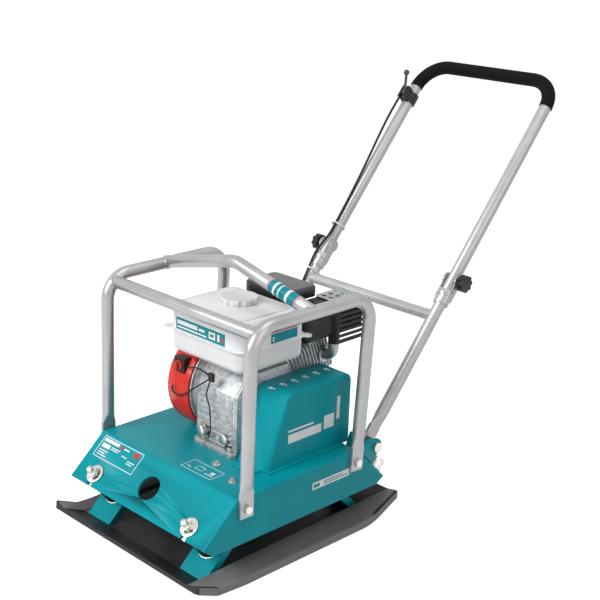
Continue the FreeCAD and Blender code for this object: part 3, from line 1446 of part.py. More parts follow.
def saddle(x):
    """Half-round saddle on top of a lower arm: a cheek each side of the upper arm, and the stud on
    which that arm folds, welded in both."""
    inner = tube_radius + clearance
    outer = inner + saddle_sheet
    start = handle_point(saddle_start, 0, x)
    sleeve = Part.makeCylinder(outer, lower_tube_end - saddle_start, start, HANDLE_UP)
    cup = Part.makeCylinder(outer + 2, saddle_web_end - lower_tube_end,
                            handle_point(lower_tube_end, 0, x), HANDLE_UP)
    rear = slab(x, outer + 5, -outer - 5, 0, lower_tube_end - 1, saddle_web_end + 1)
    cup = cup.cut(rear)
    cheeks = []
    for side in (-1, 1):
        near = x + side * inner
        far = x + side * outer
        cheek = slab_between(min(near, far), max(near, far), -9, 9, lower_tube_end - 8, knob_at)
        tip = Part.makeCylinder(saddle_end - knob_at, saddle_sheet,
                                V(min(near, far), 0, 0) + handle_point(knob_at, 0, 0), X_AXIS)
        cheeks += [cheek, tip]
    body = sleeve.fuse([cup] + cheeks)
    channel = Part.makeCylinder(inner - 0.1, 200, handle_point(lower_tube_end, 0, x), HANDLE_UP)
    bore = Part.makeCylinder(tube_radius, 100, handle_point(saddle_start - 1, 0, x), HANDLE_UP)
    reach = inner + saddle_sheet / 2
    outward = math.copysign(1, x)
    stud = x_cylinder(*sorted((x - outward * reach, x + outward * (outer + knob_height - 6))),
                      handle_point(knob_at).y, handle_point(knob_at).z, knob_stud_radius)
    return body.cut([channel, bore]).fuse(stud)


def slab_between(x0, x1, b0, b1, r0, r1):
    """A block in the handle's own directions: r along it, b in front of it."""
    corner = handle_point(r0, b0, x0)
    along = HANDLE_UP * (r1 - r0)
    across = HANDLE_FRONT * (b1 - b0)
    face = Part.Face(Part.makePolygon([corner, corner + along, corner + along + across, corner + across,
                                       corner]))
    return face.extrude(V(x1 - x0, 0, 0))


def slab(x, reach, b0, b1, r0, r1):
    return slab_between(x - reach, x + reach, b0, b1, r0, r1)


def lower_handle():
    """Two arms with flat feet, a cross tube and the saddles, all welded."""
    parts = []
    for x in (-handle_x, handle_x):
        start = handle_point(64, 0, x)
        parts.append(straight_tube(start, handle_point(lower_tube_end, 0, x), tube_radius, tube_wall))
        foot = flattened_end(start, handle_point(0, 0, x), HANDLE_FRONT, 26)
        parts.append(foot)
        parts.append(saddle(x))
    cross = straight_tube(handle_point(cross_tube_at, 0, -handle_x), handle_point(cross_tube_at, 0, handle_x),
                          tube_radius - 1, tube_wall)
    arms = [Part.makeCylinder(tube_radius - tube_wall, 200, handle_point(200, 0, x), HANDLE_UP)
            for x in (-handle_x, handle_x)]
    parts.append(cross.cut(arms))
    body = parts[0].fuse(parts[1:])
    body = body.cut(x_cylinder(-300, 300, pivot_y, pivot_z, pivot_bolt_radius + running_gap))
    return largest(body.removeSplitter())


def upper_handle():
    """One bent tube: two arms and the cross grip, turned a little flatter at the top."""
    left = [handle_point(upper_tube_start, 0, -handle_x), handle_point(handle_length, 0, -handle_x)]
    right = [handle_point(handle_length, 0, handle_x), handle_point(upper_tube_start, 0, handle_x)]
    body = tube(left + right, handle_bend, tube_radius, tube_wall)
    return body.cut(x_cylinder(-300, 300, handle_point(knob_at).y, handle_point(knob_at).z,
                               knob_stud_radius + running_gap))


def grip_sleeve():
    """Foam sleeve over the top of the handle."""
    corners = [handle_point(handle_length, 0, x) for x in (-handle_x, handle_x)]
    ends = [handle_point(grip_start, 0, x) for x in (-handle_x, handle_x)]
    tails = [handle_point(upper_tube_start, 0, x) for x in (-handle_x, handle_x)]
    sleeve = bar([ends[0]] + corners + [ends[1]], handle_bend, grip_outer)
    return sleeve.cut(bar([tails[0]] + corners + [tails[1]], handle_bend, tube_radius))


def star_knob(sx):
    """Eight-lobed knob, screwed on the end of the saddle's stud."""
    centre = handle_point(knob_at, 0, 0)
    x0 = handle_x + tube_radius + clearance + saddle_sheet + clearance
    dents = []
    for k in range(knob_lobes):
        angle = 2 * math.pi / knob_lobes * (k + 0.5)
        y = centre.y + (knob_radius + 2.5) * math.cos(angle)
        z = centre.z + (knob_radius + 2.5) * math.sin(angle)
        dents.append(x_cylinder(x0 + 5, x0 + knob_height + 1, y, z, 5.2))
    neck = x_cylinder(x0, x0 + 5, centre.y, centre.z, 11)
    disc = x_cylinder(x0 + 5, x0 + knob_height, centre.y, centre.z, knob_radius)
    socket = x_cylinder(x0 - 1, x0 + knob_height - 5, centre.y, centre.z, knob_stud_radius + running_gap)
    knob = neck.fuse(disc).cut(dents + [socket]).removeSplitter()
    if sx < 0:
        knob = knob.mirror(V(0, 0, 0), X_AXIS)
    return knob


# ---- throttle ----

def lever_clamp():
    """Split clamp round the right-hand arm with the lever's housing on its front."""
    x = -handle_x
    ring = Part.makeCylinder(tube_radius + 4, 24, handle_point(lever_at - 12, 0, x), HANDLE_UP)
    housing = slab(x, 9, tube_radius + 1, tube_radius + 20, lever_at - 15, lever_at + 15)
    body = ring.fuse(housing)
    body = body.cut(Part.makeCylinder(tube_radius + 0.1, 60, handle_point(lever_at - 30, 0, x), HANDLE_UP))
    slot = slab(x, 3.2 + clearance, tube_radius + 5, tube_radius + 40, lever_at - 30, lever_at + 30)
    pin = x_cylinder(x - 20, x + 20, handle_point(lever_at, tube_radius + 13).y,
                     handle_point(lever_at, tube_radius + 13).z, 2.5)
    return body.cut([slot]).fuse(pin.common(housing)).removeSplitter()


def throttle_lever():
    """Flat steel lever with a ball end, on the pin in its housing."""
    x = -handle_x
    centre = handle_point(lever_at, tube_radius + 13, x)
    hub = x_cylinder(x - 3.2, x + 3.2, centre.y, centre.z, 7)
    tip = handle_point(lever_at + 36, tube_radius + 40, x)
    direction = tip - centre
    stick = Part.makeCylinder(3, direction.Length, centre, direction)
    ball = Part.makeSphere(6.5, tip)
    lever = hub.fuse([stick, ball])
    return lever.cut(x_cylinder(x - 10, x + 10, centre.y, centre.z, 2.5 + running_gap)).removeSplitter()


def cable_radii(points):
    """The largest arcs that the runs of a cable leave room for."""
    radii = []
    for before, corner, after in zip(points, points[1:], points[2:]):
        shorter = min((corner - before).Length, (after - corner).Length)
        turn = (corner - before).getAngle(after - corner)
        radii.append(0.45 * shorter / math.tan(turn / 2))
    return radii


def cable(name, points):
    radii = cable_radii(points)
    path = Part.Wire(rounded_edges(points, radii))
    section = Part.Wire(Part.makeCircle(cable_radius, points[0], points[1] - points[0]))
    solid = path.makePipeShell([section], True, True)
    expected = math.pi * cable_radius ** 2 * path.Length
    print(f"{name}: radii {[round(r, 1) for r in radii]}, length {path.Length:.1f}, "
          f"volume ratio {solid.Volume / expected:.4f}")
    return solid


# each point of the two handle runs is (along the arm, in front of the arm, x)
CABLE_UPPER = [(lever_at - 15.2, 30, -178.0), (715, 29, -180.5), (660, 24.2, -181.0), (600, 19.8, -179.0),
               (540, 16.4, -177.0), (480, 16.0, -174.6), (425, 16.7, -172.2), (394, 18.2, -170.6)]
CABLE_LOWER = [(354, 21.6, -178.2), (334, 21.6, -177.6), (306, 18.4, -176.0), (256, 16.0, -171.5),
               (206, 16.6, -162.5), (162, 18.0, -151.5), (124, 16.2, -143.0), (92, 11.5, -137.0)]
CABLE_ENGINE = [(-136.8, 259.6, 237.8), (-132, 243.5, 210), (-126, 226, 191.5), (-117.5, 205, 188),
                (-109, 189, 203), (-103, 183, 231), (-98, 184.5, 265), (-91.5, 190, 297),
                (-75.4, 195.6, 321)]


def throttle_cable_upper():
    return cable("throttle_cable_upper", [handle_point(r, b, x) for r, b, x in CABLE_UPPER])


def throttle_cable_lower():
    return cable("throttle_cable_lower", [handle_point(r, b, x) for r, b, x in CABLE_LOWER])


def throttle_cable_engine():
    return cable("throttle_cable_engine", [V(x, y, z) for x, y, z in CABLE_ENGINE])


# ================= write every node =================

PLATE = base_plate()
export("base_plate", PLATE)
export("mount_legs", mount_legs(PLATE))
export("rubber_mounts", rubber_mounts())
export("mount_fasteners", mount_fasteners())
export("exciter_housing", exciter_housing())
export("exciter_end_covers", exciter_end_covers())
export("shaft_bearings", shaft_bearings())
export("exciter_shaft", exciter_shaft())
export("exciter_pulley", exciter_pulley())
export("drive_belt", drive_belt())
export("clutch_drum", clutch_drum())
export("clutch_hub", clutch_hub())
export("belt_guard", belt_guard())
export("guard_backplate", guard_backplate())
export("deck", deck())
export("handle_lugs", handle_lugs())
export("handle_stops", handle_stops())
export("cage_hoop_left", cage_hoop(1))
export("cage_hoop_right", cage_hoop(-1))
export("cage_front_bar", cage_front_bar())
export("lifting_arch", lifting_arch())
export("frame_bolts", frame_bolts())
export("deck_bolts", deck_bolts())
export("crankcase", crankcase())
export("crankcase_cover", crankcase_cover())
export("crankshaft", crankshaft())
export("flywheel", flywheel())
export("cylinder", cylinder())
export("cylinder_head", cylinder_head())
export("rocker_cover", rocker_cover())
export("spark_plug", spark_plug())
export("plug_cap", plug_cap())
export("fan_housing", fan_housing())
export("recoil_cover", recoil_cover())
export("starter_rope", starter_rope())
export("pull_grip", pull_grip())
export("fuel_tank", fuel_tank())
export("fuel_cap", fuel_cap())
export("tank_brackets", tank_brackets())
export("air_cleaner_base", air_cleaner_base())
export("air_filter", air_filter())
export("air_cleaner_lid", air_cleaner_lid())
export("carburettor", carburettor())
export("exhaust_elbow", exhaust_elbow())
export("muffler", muffler())
export("muffler_guard", muffler_guard())
export("heat_shield", heat_shield())
export("oil_plugs", oil_plugs())
export("switch_box", switch_box())
export("engine_switch", engine_switch())
export("lower_handle", lower_handle())
export("upper_handle", upper_handle())
export("grip_sleeve", grip_sleeve())
export("star_knob_left", star_knob(1))
export("star_knob_right", star_knob(-1))
export("lever_clamp", lever_clamp())
export("throttle_lever", throttle_lever())
export("throttle_cable_upper", throttle_cable_upper())
export("throttle_cable_lower", throttle_cable_lower())
export("throttle_cable_engine", throttle_cable_engine())
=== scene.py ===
import math

import bpy
from mathutils import Matrix, Vector


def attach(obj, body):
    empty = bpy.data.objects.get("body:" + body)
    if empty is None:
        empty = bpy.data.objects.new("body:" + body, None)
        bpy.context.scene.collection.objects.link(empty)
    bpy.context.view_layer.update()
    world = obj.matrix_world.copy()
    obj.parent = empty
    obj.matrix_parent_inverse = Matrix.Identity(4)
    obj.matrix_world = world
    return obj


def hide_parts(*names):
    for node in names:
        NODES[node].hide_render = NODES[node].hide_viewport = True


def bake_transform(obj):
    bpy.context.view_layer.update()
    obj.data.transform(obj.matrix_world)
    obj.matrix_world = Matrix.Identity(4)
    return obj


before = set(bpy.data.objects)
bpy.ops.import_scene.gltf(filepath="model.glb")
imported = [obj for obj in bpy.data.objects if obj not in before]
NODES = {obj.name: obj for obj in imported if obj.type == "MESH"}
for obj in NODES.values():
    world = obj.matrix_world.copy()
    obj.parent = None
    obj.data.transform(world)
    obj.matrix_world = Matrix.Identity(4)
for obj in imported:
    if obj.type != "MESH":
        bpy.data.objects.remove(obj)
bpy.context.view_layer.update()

# ---------------------------------------------------------------------------------------------
# Studio: a pale floor that glows towards the camera, three large soft boxes and a low white sky.
# The camera stands two and a half metres off, to the front and the belt side of the machine.


def linear(hex_colour):
    """An sRGB hex colour as the linear RGBA that a shader reads."""
    values = [int(hex_colour[k:k + 2], 16) / 255 for k in (1, 3, 5)]
    return [v / 12.92 if v <= 0.04045 else ((v + 0.055) / 1.055) ** 2.4 for v in values] + [1.0]


def add(tree, kind, links=None, inputs=None, **settings):
    """Adds one shader node with its settings, its socket values and the links into it."""
    made = tree.nodes.new(kind)
    for name, value in settings.items():
        setattr(made, name, value)
    for name, value in (inputs or {}).items():
        made.inputs[name].default_value = value
    for name, source in (links or {}).items():
        tree.links.new(source, made.inputs[name])
    return made


def empty_material(name):
    material = bpy.data.materials.new(name)
    material.use_nodes = True
    material.node_tree.nodes.clear()
    return material


floor_half = 9.0
floor_drop = 0.0005
bpy.ops.mesh.primitive_plane_add(size=2 * floor_half, location=(0, 0, -floor_drop))
floor = bpy.context.object
floor.name = "studio_floor"
bpy.ops.object.transform_apply(location=True, rotation=True, scale=True)

floor_paint = empty_material("matt_studio_floor")
tree = floor_paint.node_tree
path = add(tree, "ShaderNodeLightPath")
seen = add(tree, "ShaderNodeMath", operation="MAXIMUM",
           links={0: path.outputs["Is Camera Ray"], 1: path.outputs["Is Glossy Ray"]})
matt = add(tree, "ShaderNodeBsdfDiffuse", inputs={"Color": linear("#C4C4C4")})
glow = add(tree, "ShaderNodeEmission", inputs={"Color": linear("#FFFFFF"), "Strength": 0.86})
lift = add(tree, "ShaderNodeAddShader", links={0: matt.outputs[0], 1: glow.outputs[0]})
pick = add(tree, "ShaderNodeMixShader",
           links={"Fac": seen.outputs[0], 1: matt.outputs[0], 2: lift.outputs[0]})
add(tree, "ShaderNodeOutputMaterial", links={"Surface": pick.outputs[0]})
floor.data.materials.append(floor_paint)

world = bpy.data.worlds.new("studio_sky")
bpy.context.scene.world = world
world.use_nodes = True
tree = world.node_tree
tree.nodes.clear()
path = add(tree, "ShaderNodeLightPath")
seen = add(tree, "ShaderNodeMath", operation="MAXIMUM",
           links={0: path.outputs["Is Camera Ray"], 1: path.outputs["Is Glossy Ray"]})
sky = add(tree, "ShaderNodeBackground", inputs={"Color": linear("#FFFFFF"), "Strength": 0.3})
white = add(tree, "ShaderNodeBackground", inputs={"Color": linear("#FFFFFF"), "Strength": 1.0})
pick = add(tree, "ShaderNodeMixShader",
           links={"Fac": seen.outputs[0], 1: sky.outputs[0], 2: white.outputs[0]})
add(tree, "ShaderNodeOutputWorld", links={"Surface": pick.outputs[0]})


def soft_box(name, place, target, size, power):
    bpy.ops.object.light_add(type="AREA", location=place)
    lamp = bpy.context.object
    lamp.name = name
    lamp.data.shape = "RECTANGLE"
    lamp.data.size, lamp.data.size_y = size
    lamp.data.energy = power
    lamp.rotation_euler = (Vector(target) - Vector(place)).to_track_quat("-Z", "Y").to_euler()


soft_box("key_soft_box", (-0.7, -3.3, 2.6), (0, 0, 0.35), (2.4, 1.8), 150)
soft_box("top_soft_box", (1.0, 0.5, 3.4), (0, 0, 0.2), (2.4, 2.4), 32)
soft_box("side_soft_box", (3.2, 0.2, 1.4), (0, 0, 0.35), (1.8, 1.8), 17)

camera_azimuth, camera_elevation, camera_roll = (math.radians(v) for v in (46.91, 19.28, 1.07))
camera_place = Vector((1.6461, -1.5170, 1.2039))
back = Vector((math.sin(camera_azimuth) * math.cos(camera_elevation),
               -math.cos(camera_azimuth) * math.cos(camera_elevation), math.sin(camera_elevation)))
level = Vector((math.cos(camera_azimuth), math.sin(camera_azimuth), 0))
upright = back.cross(level)
right = level * math.cos(camera_roll) + upright * math.sin(camera_roll)
above = upright * math.cos(camera_roll) - level * math.sin(camera_roll)
camera_data = bpy.data.cameras.new("studio_camera")
camera = bpy.data.objects.new("studio_camera", camera_data)
bpy.context.scene.collection.objects.link(camera)
camera_turn = Matrix((right, above, back)).transposed().to_4x4()
camera.matrix_world = Matrix.Translation(camera_place) @ camera_turn
camera_data.sensor_width = 36
camera_data.lens = 74.25
camera_data.shift_x = 0.1
camera_data.shift_y = 0.0333
bpy.context.scene.camera = camera
bpy.context.scene.view_settings.view_transform = "Standard"

# ---------------------------------------------------------------------------------------------
# Base plate: 8 mm steel, pressed to a dish with lips at both ends, under black stoved enamel that
# is rubbed dull and dusty on its inner floor and its side faces. These faces also carry painted
# light: they are painted lighter towards the plate's sides, where the lamps reach in under the
# deck.


def surface(name, colours, patch_mm, roughness, grain_mm=1.0, grain_depth_mm=0.0, metallic=0.0,
            specular=0.5, speck=None, edge=None):
    """A finish with two colours in soft patches, uneven gloss and a fine grain.

    speck is (colour, size in mm, share) for dust, and edge is (colour, from, to in mm) for a tint
    that grows with the distance from the machine's middle line.
    """
    material = empty_material(name)
    tree = material.node_tree
    place = add(tree, "ShaderNodeTexCoord").outputs["Object"]
    patches = add(tree, "ShaderNodeTexNoise", links={"Vector": place},
                  inputs={"Scale": 1000 / patch_mm, "Detail": 4.0, "Roughness": 0.55})
    ramp = add(tree, "ShaderNodeValToRGB", links={"Fac": patches.outputs["Fac"]})
    ramp.color_ramp.elements[0].position = 0.35
    ramp.color_ramp.elements[1].position = 0.65
    ramp.color_ramp.elements[0].color = linear(colours[0])
    ramp.color_ramp.elements[1].color = linear(colours[1])
    colour = ramp.outputs["Color"]
    if speck:
        dots = add(tree, "ShaderNodeTexNoise", links={"Vector": place},
                   inputs={"Scale": 1000 / speck[1], "Detail": 1.0})
        share = add(tree, "ShaderNodeMapRange", links={"Value": dots.outputs["Fac"]},
                    inputs={"From Min": 0.58, "From Max": 0.7, "To Max": speck[2]})
        tint = add(tree, "ShaderNodeMix", data_type="RGBA",
                   links={"Factor": share.outputs["Result"], 6: colour})
        tint.inputs[7].default_value = linear(speck[0])
        colour = tint.outputs[2]
    if edge:
        axes = add(tree, "ShaderNodeSeparateXYZ", links={"Vector": place})
        width = add(tree, "ShaderNodeMath", operation="ABSOLUTE", links={0: axes.outputs["X"]})
        share = add(tree, "ShaderNodeMapRange", links={"Value": width.outputs[0]},
                    inputs={"From Min": edge[1] / 1000, "From Max": edge[2] / 1000})
        tint = add(tree, "ShaderNodeMix", data_type="RGBA", blend_type="ADD",
                   links={"Factor": share.outputs["Result"], 6: colour})
        tint.inputs[7].default_value = linear(edge[0])
        colour = tint.outputs[2]
    gloss = add(tree, "ShaderNodeMapRange", links={"Value": patches.outputs["Fac"]},
                inputs={"From Min": 0.3, "From Max": 0.7, "To Min": roughness[0],
                        "To Max": roughness[1]})
    grain = add(tree, "ShaderNodeTexNoise", links={"Vector": place},
                inputs={"Scale": 1000 / grain_mm, "Detail": 2.0})
    bump = add(tree, "ShaderNodeBump", links={"Height": grain.outputs["Fac"]},
               inputs={"Strength": 1.0 if grain_depth_mm else 0.0,
                       "Distance": grain_depth_mm / 1000})
    shader = add(tree, "ShaderNodeBsdfPrincipled",
                 links={"Base Color": colour, "Roughness": gloss.outputs["Result"],
                        "Normal": bump.outputs["Normal"]},
                 inputs={"Metallic": metallic, "Specular IOR Level": specular})
    add(tree, "ShaderNodeOutputMaterial", links={"Surface": shader.outputs[0]})
    return material


def only(piece):
    """Selects one object and makes it the active one."""
    bpy.ops.object.select_all(action="DESELECT")
    piece.select_set(True)
    bpy.context.view_layer.objects.active = piece


def apply_modifier(piece, kind, **settings):
    only(piece)
    modifier = piece.modifiers.new(kind.lower(), kind)
    for name, value in settings.items():
        setattr(modifier, name, value)
    bpy.ops.object.modifier_apply(modifier=modifier.name)


crease_angle = math.radians(32)


def softened(node, body, material, edge_mm, clamp=True, flat=False):
    """A copy of a solid with merged faces, rounded edges and smooth curves, in place of it.

    edge_mm is the width of the rounding, or 0 for none, and flat keeps large faces level.
    """
    solid = NODES[node]
    only(solid)
    bpy.ops.object.duplicate()
    piece = bpy.context.object
    piece.name = node + "_piece"
    piece.parent = None
    only(piece)
    bpy.ops.object.mode_set(mode="EDIT")
    bpy.ops.mesh.select_all(action="SELECT")
    bpy.ops.mesh.remove_doubles(threshold=0.00001)
    bpy.ops.mesh.dissolve_limited(angle_limit=math.radians(1.0))
    bpy.ops.object.mode_set(mode="OBJECT")
    only(piece)
    if edge_mm:
        bpy.ops.object.shade_smooth()
        apply_modifier(piece, "BEVEL", width=edge_mm / 1000, segments=2, limit_method="ANGLE",
                       angle_limit=crease_angle, use_clamp_overlap=clamp,
                       harden_normals=True)
        if flat:
            apply_modifier(piece, "WEIGHTED_NORMAL", mode="FACE_AREA", weight=90, keep_sharp=False)
    else:
        bpy.ops.object.shade_smooth_by_angle(angle=crease_angle)
    piece.data.materials.clear()
    piece.data.materials.append(material)
    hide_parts(node)
    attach(piece, body)
    return piece


black_enamel = surface("black_stoved_enamel", ("#19191A", "#222223"), 70, (0.45, 0.6), 1.2, 0.03,
                       specular=0.35)
# The dust specks are real; the edge tint is painted light, lighter towards the plate's sides where
# the lamps reach in under the deck.
dusty_enamel_painted_light = surface("dusty_enamel_with_painted_light", ("#28282A", "#363638"), 60, (0.5, 0.68), 1.2, 0.03,
                      specular=0.4, speck=("#6C6A66", 2.5, 0.3), edge=("#666666", 100, 190))
base_plate = softened("base_plate", "chassis", black_enamel, 0)
rim_inner, slope_foot, rim_height = 0.212, 0.188, 0.007
plate_thickness = 0.008
toe_start, lip_start, tail_start = -0.152, -0.222, 0.192
toe_rise, toe_length = 0.005, 0.07
lip_rise, lip_length = 0.022, 0.0515
tail_rise, tail_length = 0.038, 0.0815


def floor_level(y):
    """Height of the dish's floor along its length, with its rises to the front and the rear."""
    if y < lip_start:
        return plate_thickness + toe_rise + lip_rise * (lip_start - y) / lip_length
    if y < toe_start:
        return plate_thickness + toe_rise * (toe_start - y) / toe_length
    return plate_thickness + max(0.0, tail_rise * (y - tail_start) / tail_length)


# The inner foot of each rim is moved inwards, so that the rim slopes down to the floor.
for side in (-1, 1):
    only(base_plate)
    bpy.ops.object.mode_set(mode="EDIT")
    bpy.ops.mesh.select_mode(type="VERT")
    bpy.ops.mesh.select_all(action="DESELECT")
    bpy.ops.object.mode_set(mode="OBJECT")
    for vertex in base_plate.data.vertices:
        x, y, z = vertex.co
        vertex.select = abs(x * side - rim_inner) < 0.0003 and z - floor_level(y) < rim_height / 2
    bpy.ops.object.mode_set(mode="EDIT")
    bpy.ops.transform.translate(value=(side * (slope_foot - rim_inner), 0, 0))
    bpy.ops.object.mode_set(mode="OBJECT")
only(base_plate)
bpy.ops.object.shade_smooth()
apply_modifier(base_plate, "BEVEL", width=0.0012, segments=2, limit_method="ANGLE",
               angle_limit=math.radians(12), use_clamp_overlap=False, harden_normals=True)
apply_modifier(base_plate, "WEIGHTED_NORMAL", mode="FACE_AREA", weight=90, keep_sharp=False)
base_plate.data.materials.append(dusty_enamel_painted_light)
# The dish's floor and the rim's outer faces take this enamel; the lighter outer faces are painted
# light.
dusty_painted_light_end = 0.2
for face in base_plate.data.polygons:
    middle = face.center
    floor_face = face.normal.z > 0.9 and lip_start < middle.y < dusty_painted_light_end
    side_face = abs(face.normal.x) > 0.9 and abs(middle.x) > rim_inner
    if floor_face or side_face:
        face.material_index = 1

# ---------------------------------------------------------------------------------------------
# Mount legs, deck, handle ears: folded and welded steel sheet under one coat of glossy teal
# enamel. The sprayed coat has a faint orange peel, a few millimetres from dimple to dimple.

teal_enamel = surface("teal_sprayed_enamel", ("#008C97", "#00949F"), 140, (0.34, 0.44), 3.0, 0.04,
                      specular=0.14)
softened("mount_legs", "chassis", teal_enamel, 1.2, clamp=False, flat=True)
softened("deck", "chassis", teal_enamel, 0)
softened("handle_lugs", "chassis", teal_enamel, 0.8)

# ---------------------------------------------------------------------------------------------
# Rubber mounts and handle bushes: black moulded rubber, dull and nearly without a highlight.

black_rubber = surface("black_moulded_rubber", ("#151515", "#1D1D1D"), 12, (0.7, 0.82), 0.8, 0.03,
                       specular=0.3)
softened("rubber_mounts", "chassis", black_rubber, 0.6)

# ---------------------------------------------------------------------------------------------
# Fasteners: zinc-plated steel studs, nuts, washers and bolts, bright with a faint yellow cast
# where the plating is passivated.

zinc_plate = surface("zinc_plated_steel", ("#C9CACB", "#D8D3C4"), 9, (0.22, 0.4), 0.9, 0.01,
                     metallic=1.0)
softened("mount_fasteners", "chassis", zinc_plate, 0.5)
softened("frame_bolts", "chassis", zinc_plate, 0.5)
softened("deck_bolts", "chassis", zinc_plate, 0.4)
softened("handle_stops", "chassis", zinc_plate, 1.2)

# ---------------------------------------------------------------------------------------------
# Exciter, pulleys and clutch under the deck: grey iron castings, turned where they run.

grey_iron = surface("grey_iron_casting", ("#4A4C4E", "#5C5E60"), 8, (0.55, 0.75), 1.5, 0.12,
                    metallic=0.6)
turned_steel = surface("turned_steel", ("#A9ABAD", "#BDBFC1"), 6, (0.25, 0.38), 0.5, 0.004,
                       metallic=1.0)
softened("exciter_housing", "chassis", grey_iron, 1.2)
softened("exciter_end_covers", "chassis", grey_iron, 1.0)
softened("shaft_bearings", "chassis", turned_steel, 0.3)
softened("exciter_shaft", "exciter_rotor", turned_steel, 0.4)
softened("exciter_pulley", "exciter_rotor", grey_iron, 0.5)
softened("clutch_drum", "clutch_bell", grey_iron, 0.4)
softened("clutch_hub", "crank", turned_steel, 0.3)
softened("crankshaft", "crank", turned_steel, 0.4)
softened("flywheel", "crank", grey_iron, 0.5)
softened("drive_belt", "chassis", black_rubber, 0.6)

# ---------------------------------------------------------------------------------------------
# Cage: one-inch steel tube, bent and flattened at its feet, under a satin silver coat.

silver_coat = surface("silver_powder_coat", ("#A4A4A5", "#B1B1B2"), 90, (0.28, 0.4), 1.1, 0.015,
                      metallic=0.7)
for tube in ("cage_hoop_left", "cage_hoop_right", "cage_front_bar", "lifting_arch"):
    softened(tube, "chassis", silver_coat, 0.4)

# ---------------------------------------------------------------------------------------------
# Belt guard and its inner plate: pressed sheet, the same teal enamel as the deck.

softened("belt_guard", "chassis", teal_enamel, 0.6, clamp=False)
softened("guard_backplate", "chassis", teal_enamel, 0.4)

# ---------------------------------------------------------------------------------------------
# Engine castings: die-cast aluminium, blasted to a matt grey; the finned cylinder and its head
# are paler, as cast.

bright_alloy = surface("bright_cast_aluminium", ("#CFD1D3", "#DADCDE"), 10, (0.4, 0.55), 0.9, 0.02,
                       metallic=0.5)
cast_alloy = surface("die_cast_aluminium", ("#9C9EA0", "#C6C8CA"), 9, (0.42, 0.6), 0.9, 0.04,
                     metallic=0.75)
for casting in ("crankcase", "crankcase_cover", "rocker_cover", "carburettor"):
    softened(casting, "chassis", cast_alloy, 0.6)
for casting in ("cylinder", "cylinder_head"):
    softened(casting, "chassis", bright_alloy, 0.4)
softened("spark_plug", "chassis", zinc_plate, 0.3)
softened("plug_cap", "chassis", black_rubber, 0.8)

# ---------------------------------------------------------------------------------------------
# Blower housing and starter cover: pressed steel in glossy red enamel.

red_enamel = surface("red_gloss_enamel", ("#C9241A", "#D42A1E"), 80, (0.22, 0.32), 2.5, 0.04,
                     specular=0.3)
softened("fan_housing", "chassis", red_enamel, 1.0)
softened("recoil_cover", "chassis", red_enamel, 0.8)

# ---------------------------------------------------------------------------------------------
# Mouldings: matt black nylon for the starter grip, the switch box, the knobs and the lever clamp,
# with the fine spark texture of the mould. The oil plugs are plated and the lever is blackened.

black_nylon = surface("black_moulded_nylon", ("#131314", "#1B1B1C"), 15, (0.4, 0.52), 0.8, 0.02,
                      specular=0.35)
red_nylon = surface("red_moulded_nylon", ("#B5231A", "#C22A1E"), 15, (0.35, 0.5), 0.8, 0.02)
softened("pull_grip", "starter_grip", black_nylon, 0.8)
softened("oil_plugs", "chassis", zinc_plate, 0.8)
softened("switch_box", "chassis", black_nylon, 1.0)
softened("engine_switch", "ignition_switch", red_nylon, 0.6)
softened("star_knob_left", "knob_left", black_nylon, 1.2)
softened("star_knob_right", "knob_right", black_nylon, 1.2)
softened("lever_clamp", "handle_upper", black_nylon, 0.8)
black_steel = surface("blackened_steel", ("#3E3F41", "#4A4B4D"), 8, (0.35, 0.5), 0.8, 0.01,
                      metallic=0.6)
softened("throttle_lever", "throttle", black_steel, 0.3)

rope_fibre = surface("braided_polyester_rope", ("#D9D6CE", "#E8E6E0"), 2, (0.8, 0.9), 0.8, 0.1)
softened("starter_rope", "starter_grip", rope_fibre, 0)

# ---------------------------------------------------------------------------------------------
# Fuel tank: two pressed steel halves seam-welded together, white enamel, with a grey cap.

white_enamel = surface("white_gloss_enamel", ("#D9D9DA", "#E2E2E3"), 120, (0.25, 0.34), 3.0, 0.04,
                       specular=0.4)
softened("fuel_tank", "chassis", white_enamel, 0.6)
grey_nylon = surface("pale_grey_moulded_nylon", ("#CDCECF", "#D8D9DA"), 20, (0.35, 0.5), 0.9, 0.02)
softened("fuel_cap", "tank_cap", grey_nylon, 1.0)
softened("tank_brackets", "chassis", black_enamel, 0.4)

# ---------------------------------------------------------------------------------------------
# Air cleaner: black moulded body, a glossier lid, and a foam ring inside.

lid_nylon = surface("satin_black_moulded_nylon", ("#202123", "#292A2C"), 20, (0.24, 0.34), 0.8,
                    0.02, specular=0.6)
filter_foam = surface("open_cell_filter_foam", ("#2A2A2B", "#3A3A3B"), 3, (0.9, 0.98), 1.5, 0.4)
softened("air_cleaner_base", "chassis", black_nylon, 1.0)
softened("air_cleaner_lid", "chassis", lid_nylon, 2.0)
softened("air_filter", "chassis", filter_foam, 0.5)

# ---------------------------------------------------------------------------------------------
# Exhaust: a pressed muffler in black heat-proof paint, its louvred guard, and the heat shield and
# the elbow from the head in bare galvanised steel.

stove_black = surface("black_heatproof_paint", ("#181819", "#212122"), 25, (0.5, 0.66), 0.9, 0.04,
                      specular=0.3)
bare_steel = surface("bare_galvanised_steel", ("#9EA1A3", "#B2B5B7"), 14, (0.32, 0.5), 1.0, 0.01,
                     metallic=0.9)
softened("muffler", "chassis", stove_black, 0.8)
softened("muffler_guard", "chassis", stove_black, 0.4)
softened("heat_shield", "chassis", bare_steel, 0.3)
softened("exhaust_elbow", "chassis", bare_steel, 0.5)

# ---------------------------------------------------------------------------------------------
# Handle: one-inch tube in a paler silver coat than the cage's, the grip bar under a sleeve of
# black closed-cell foam.

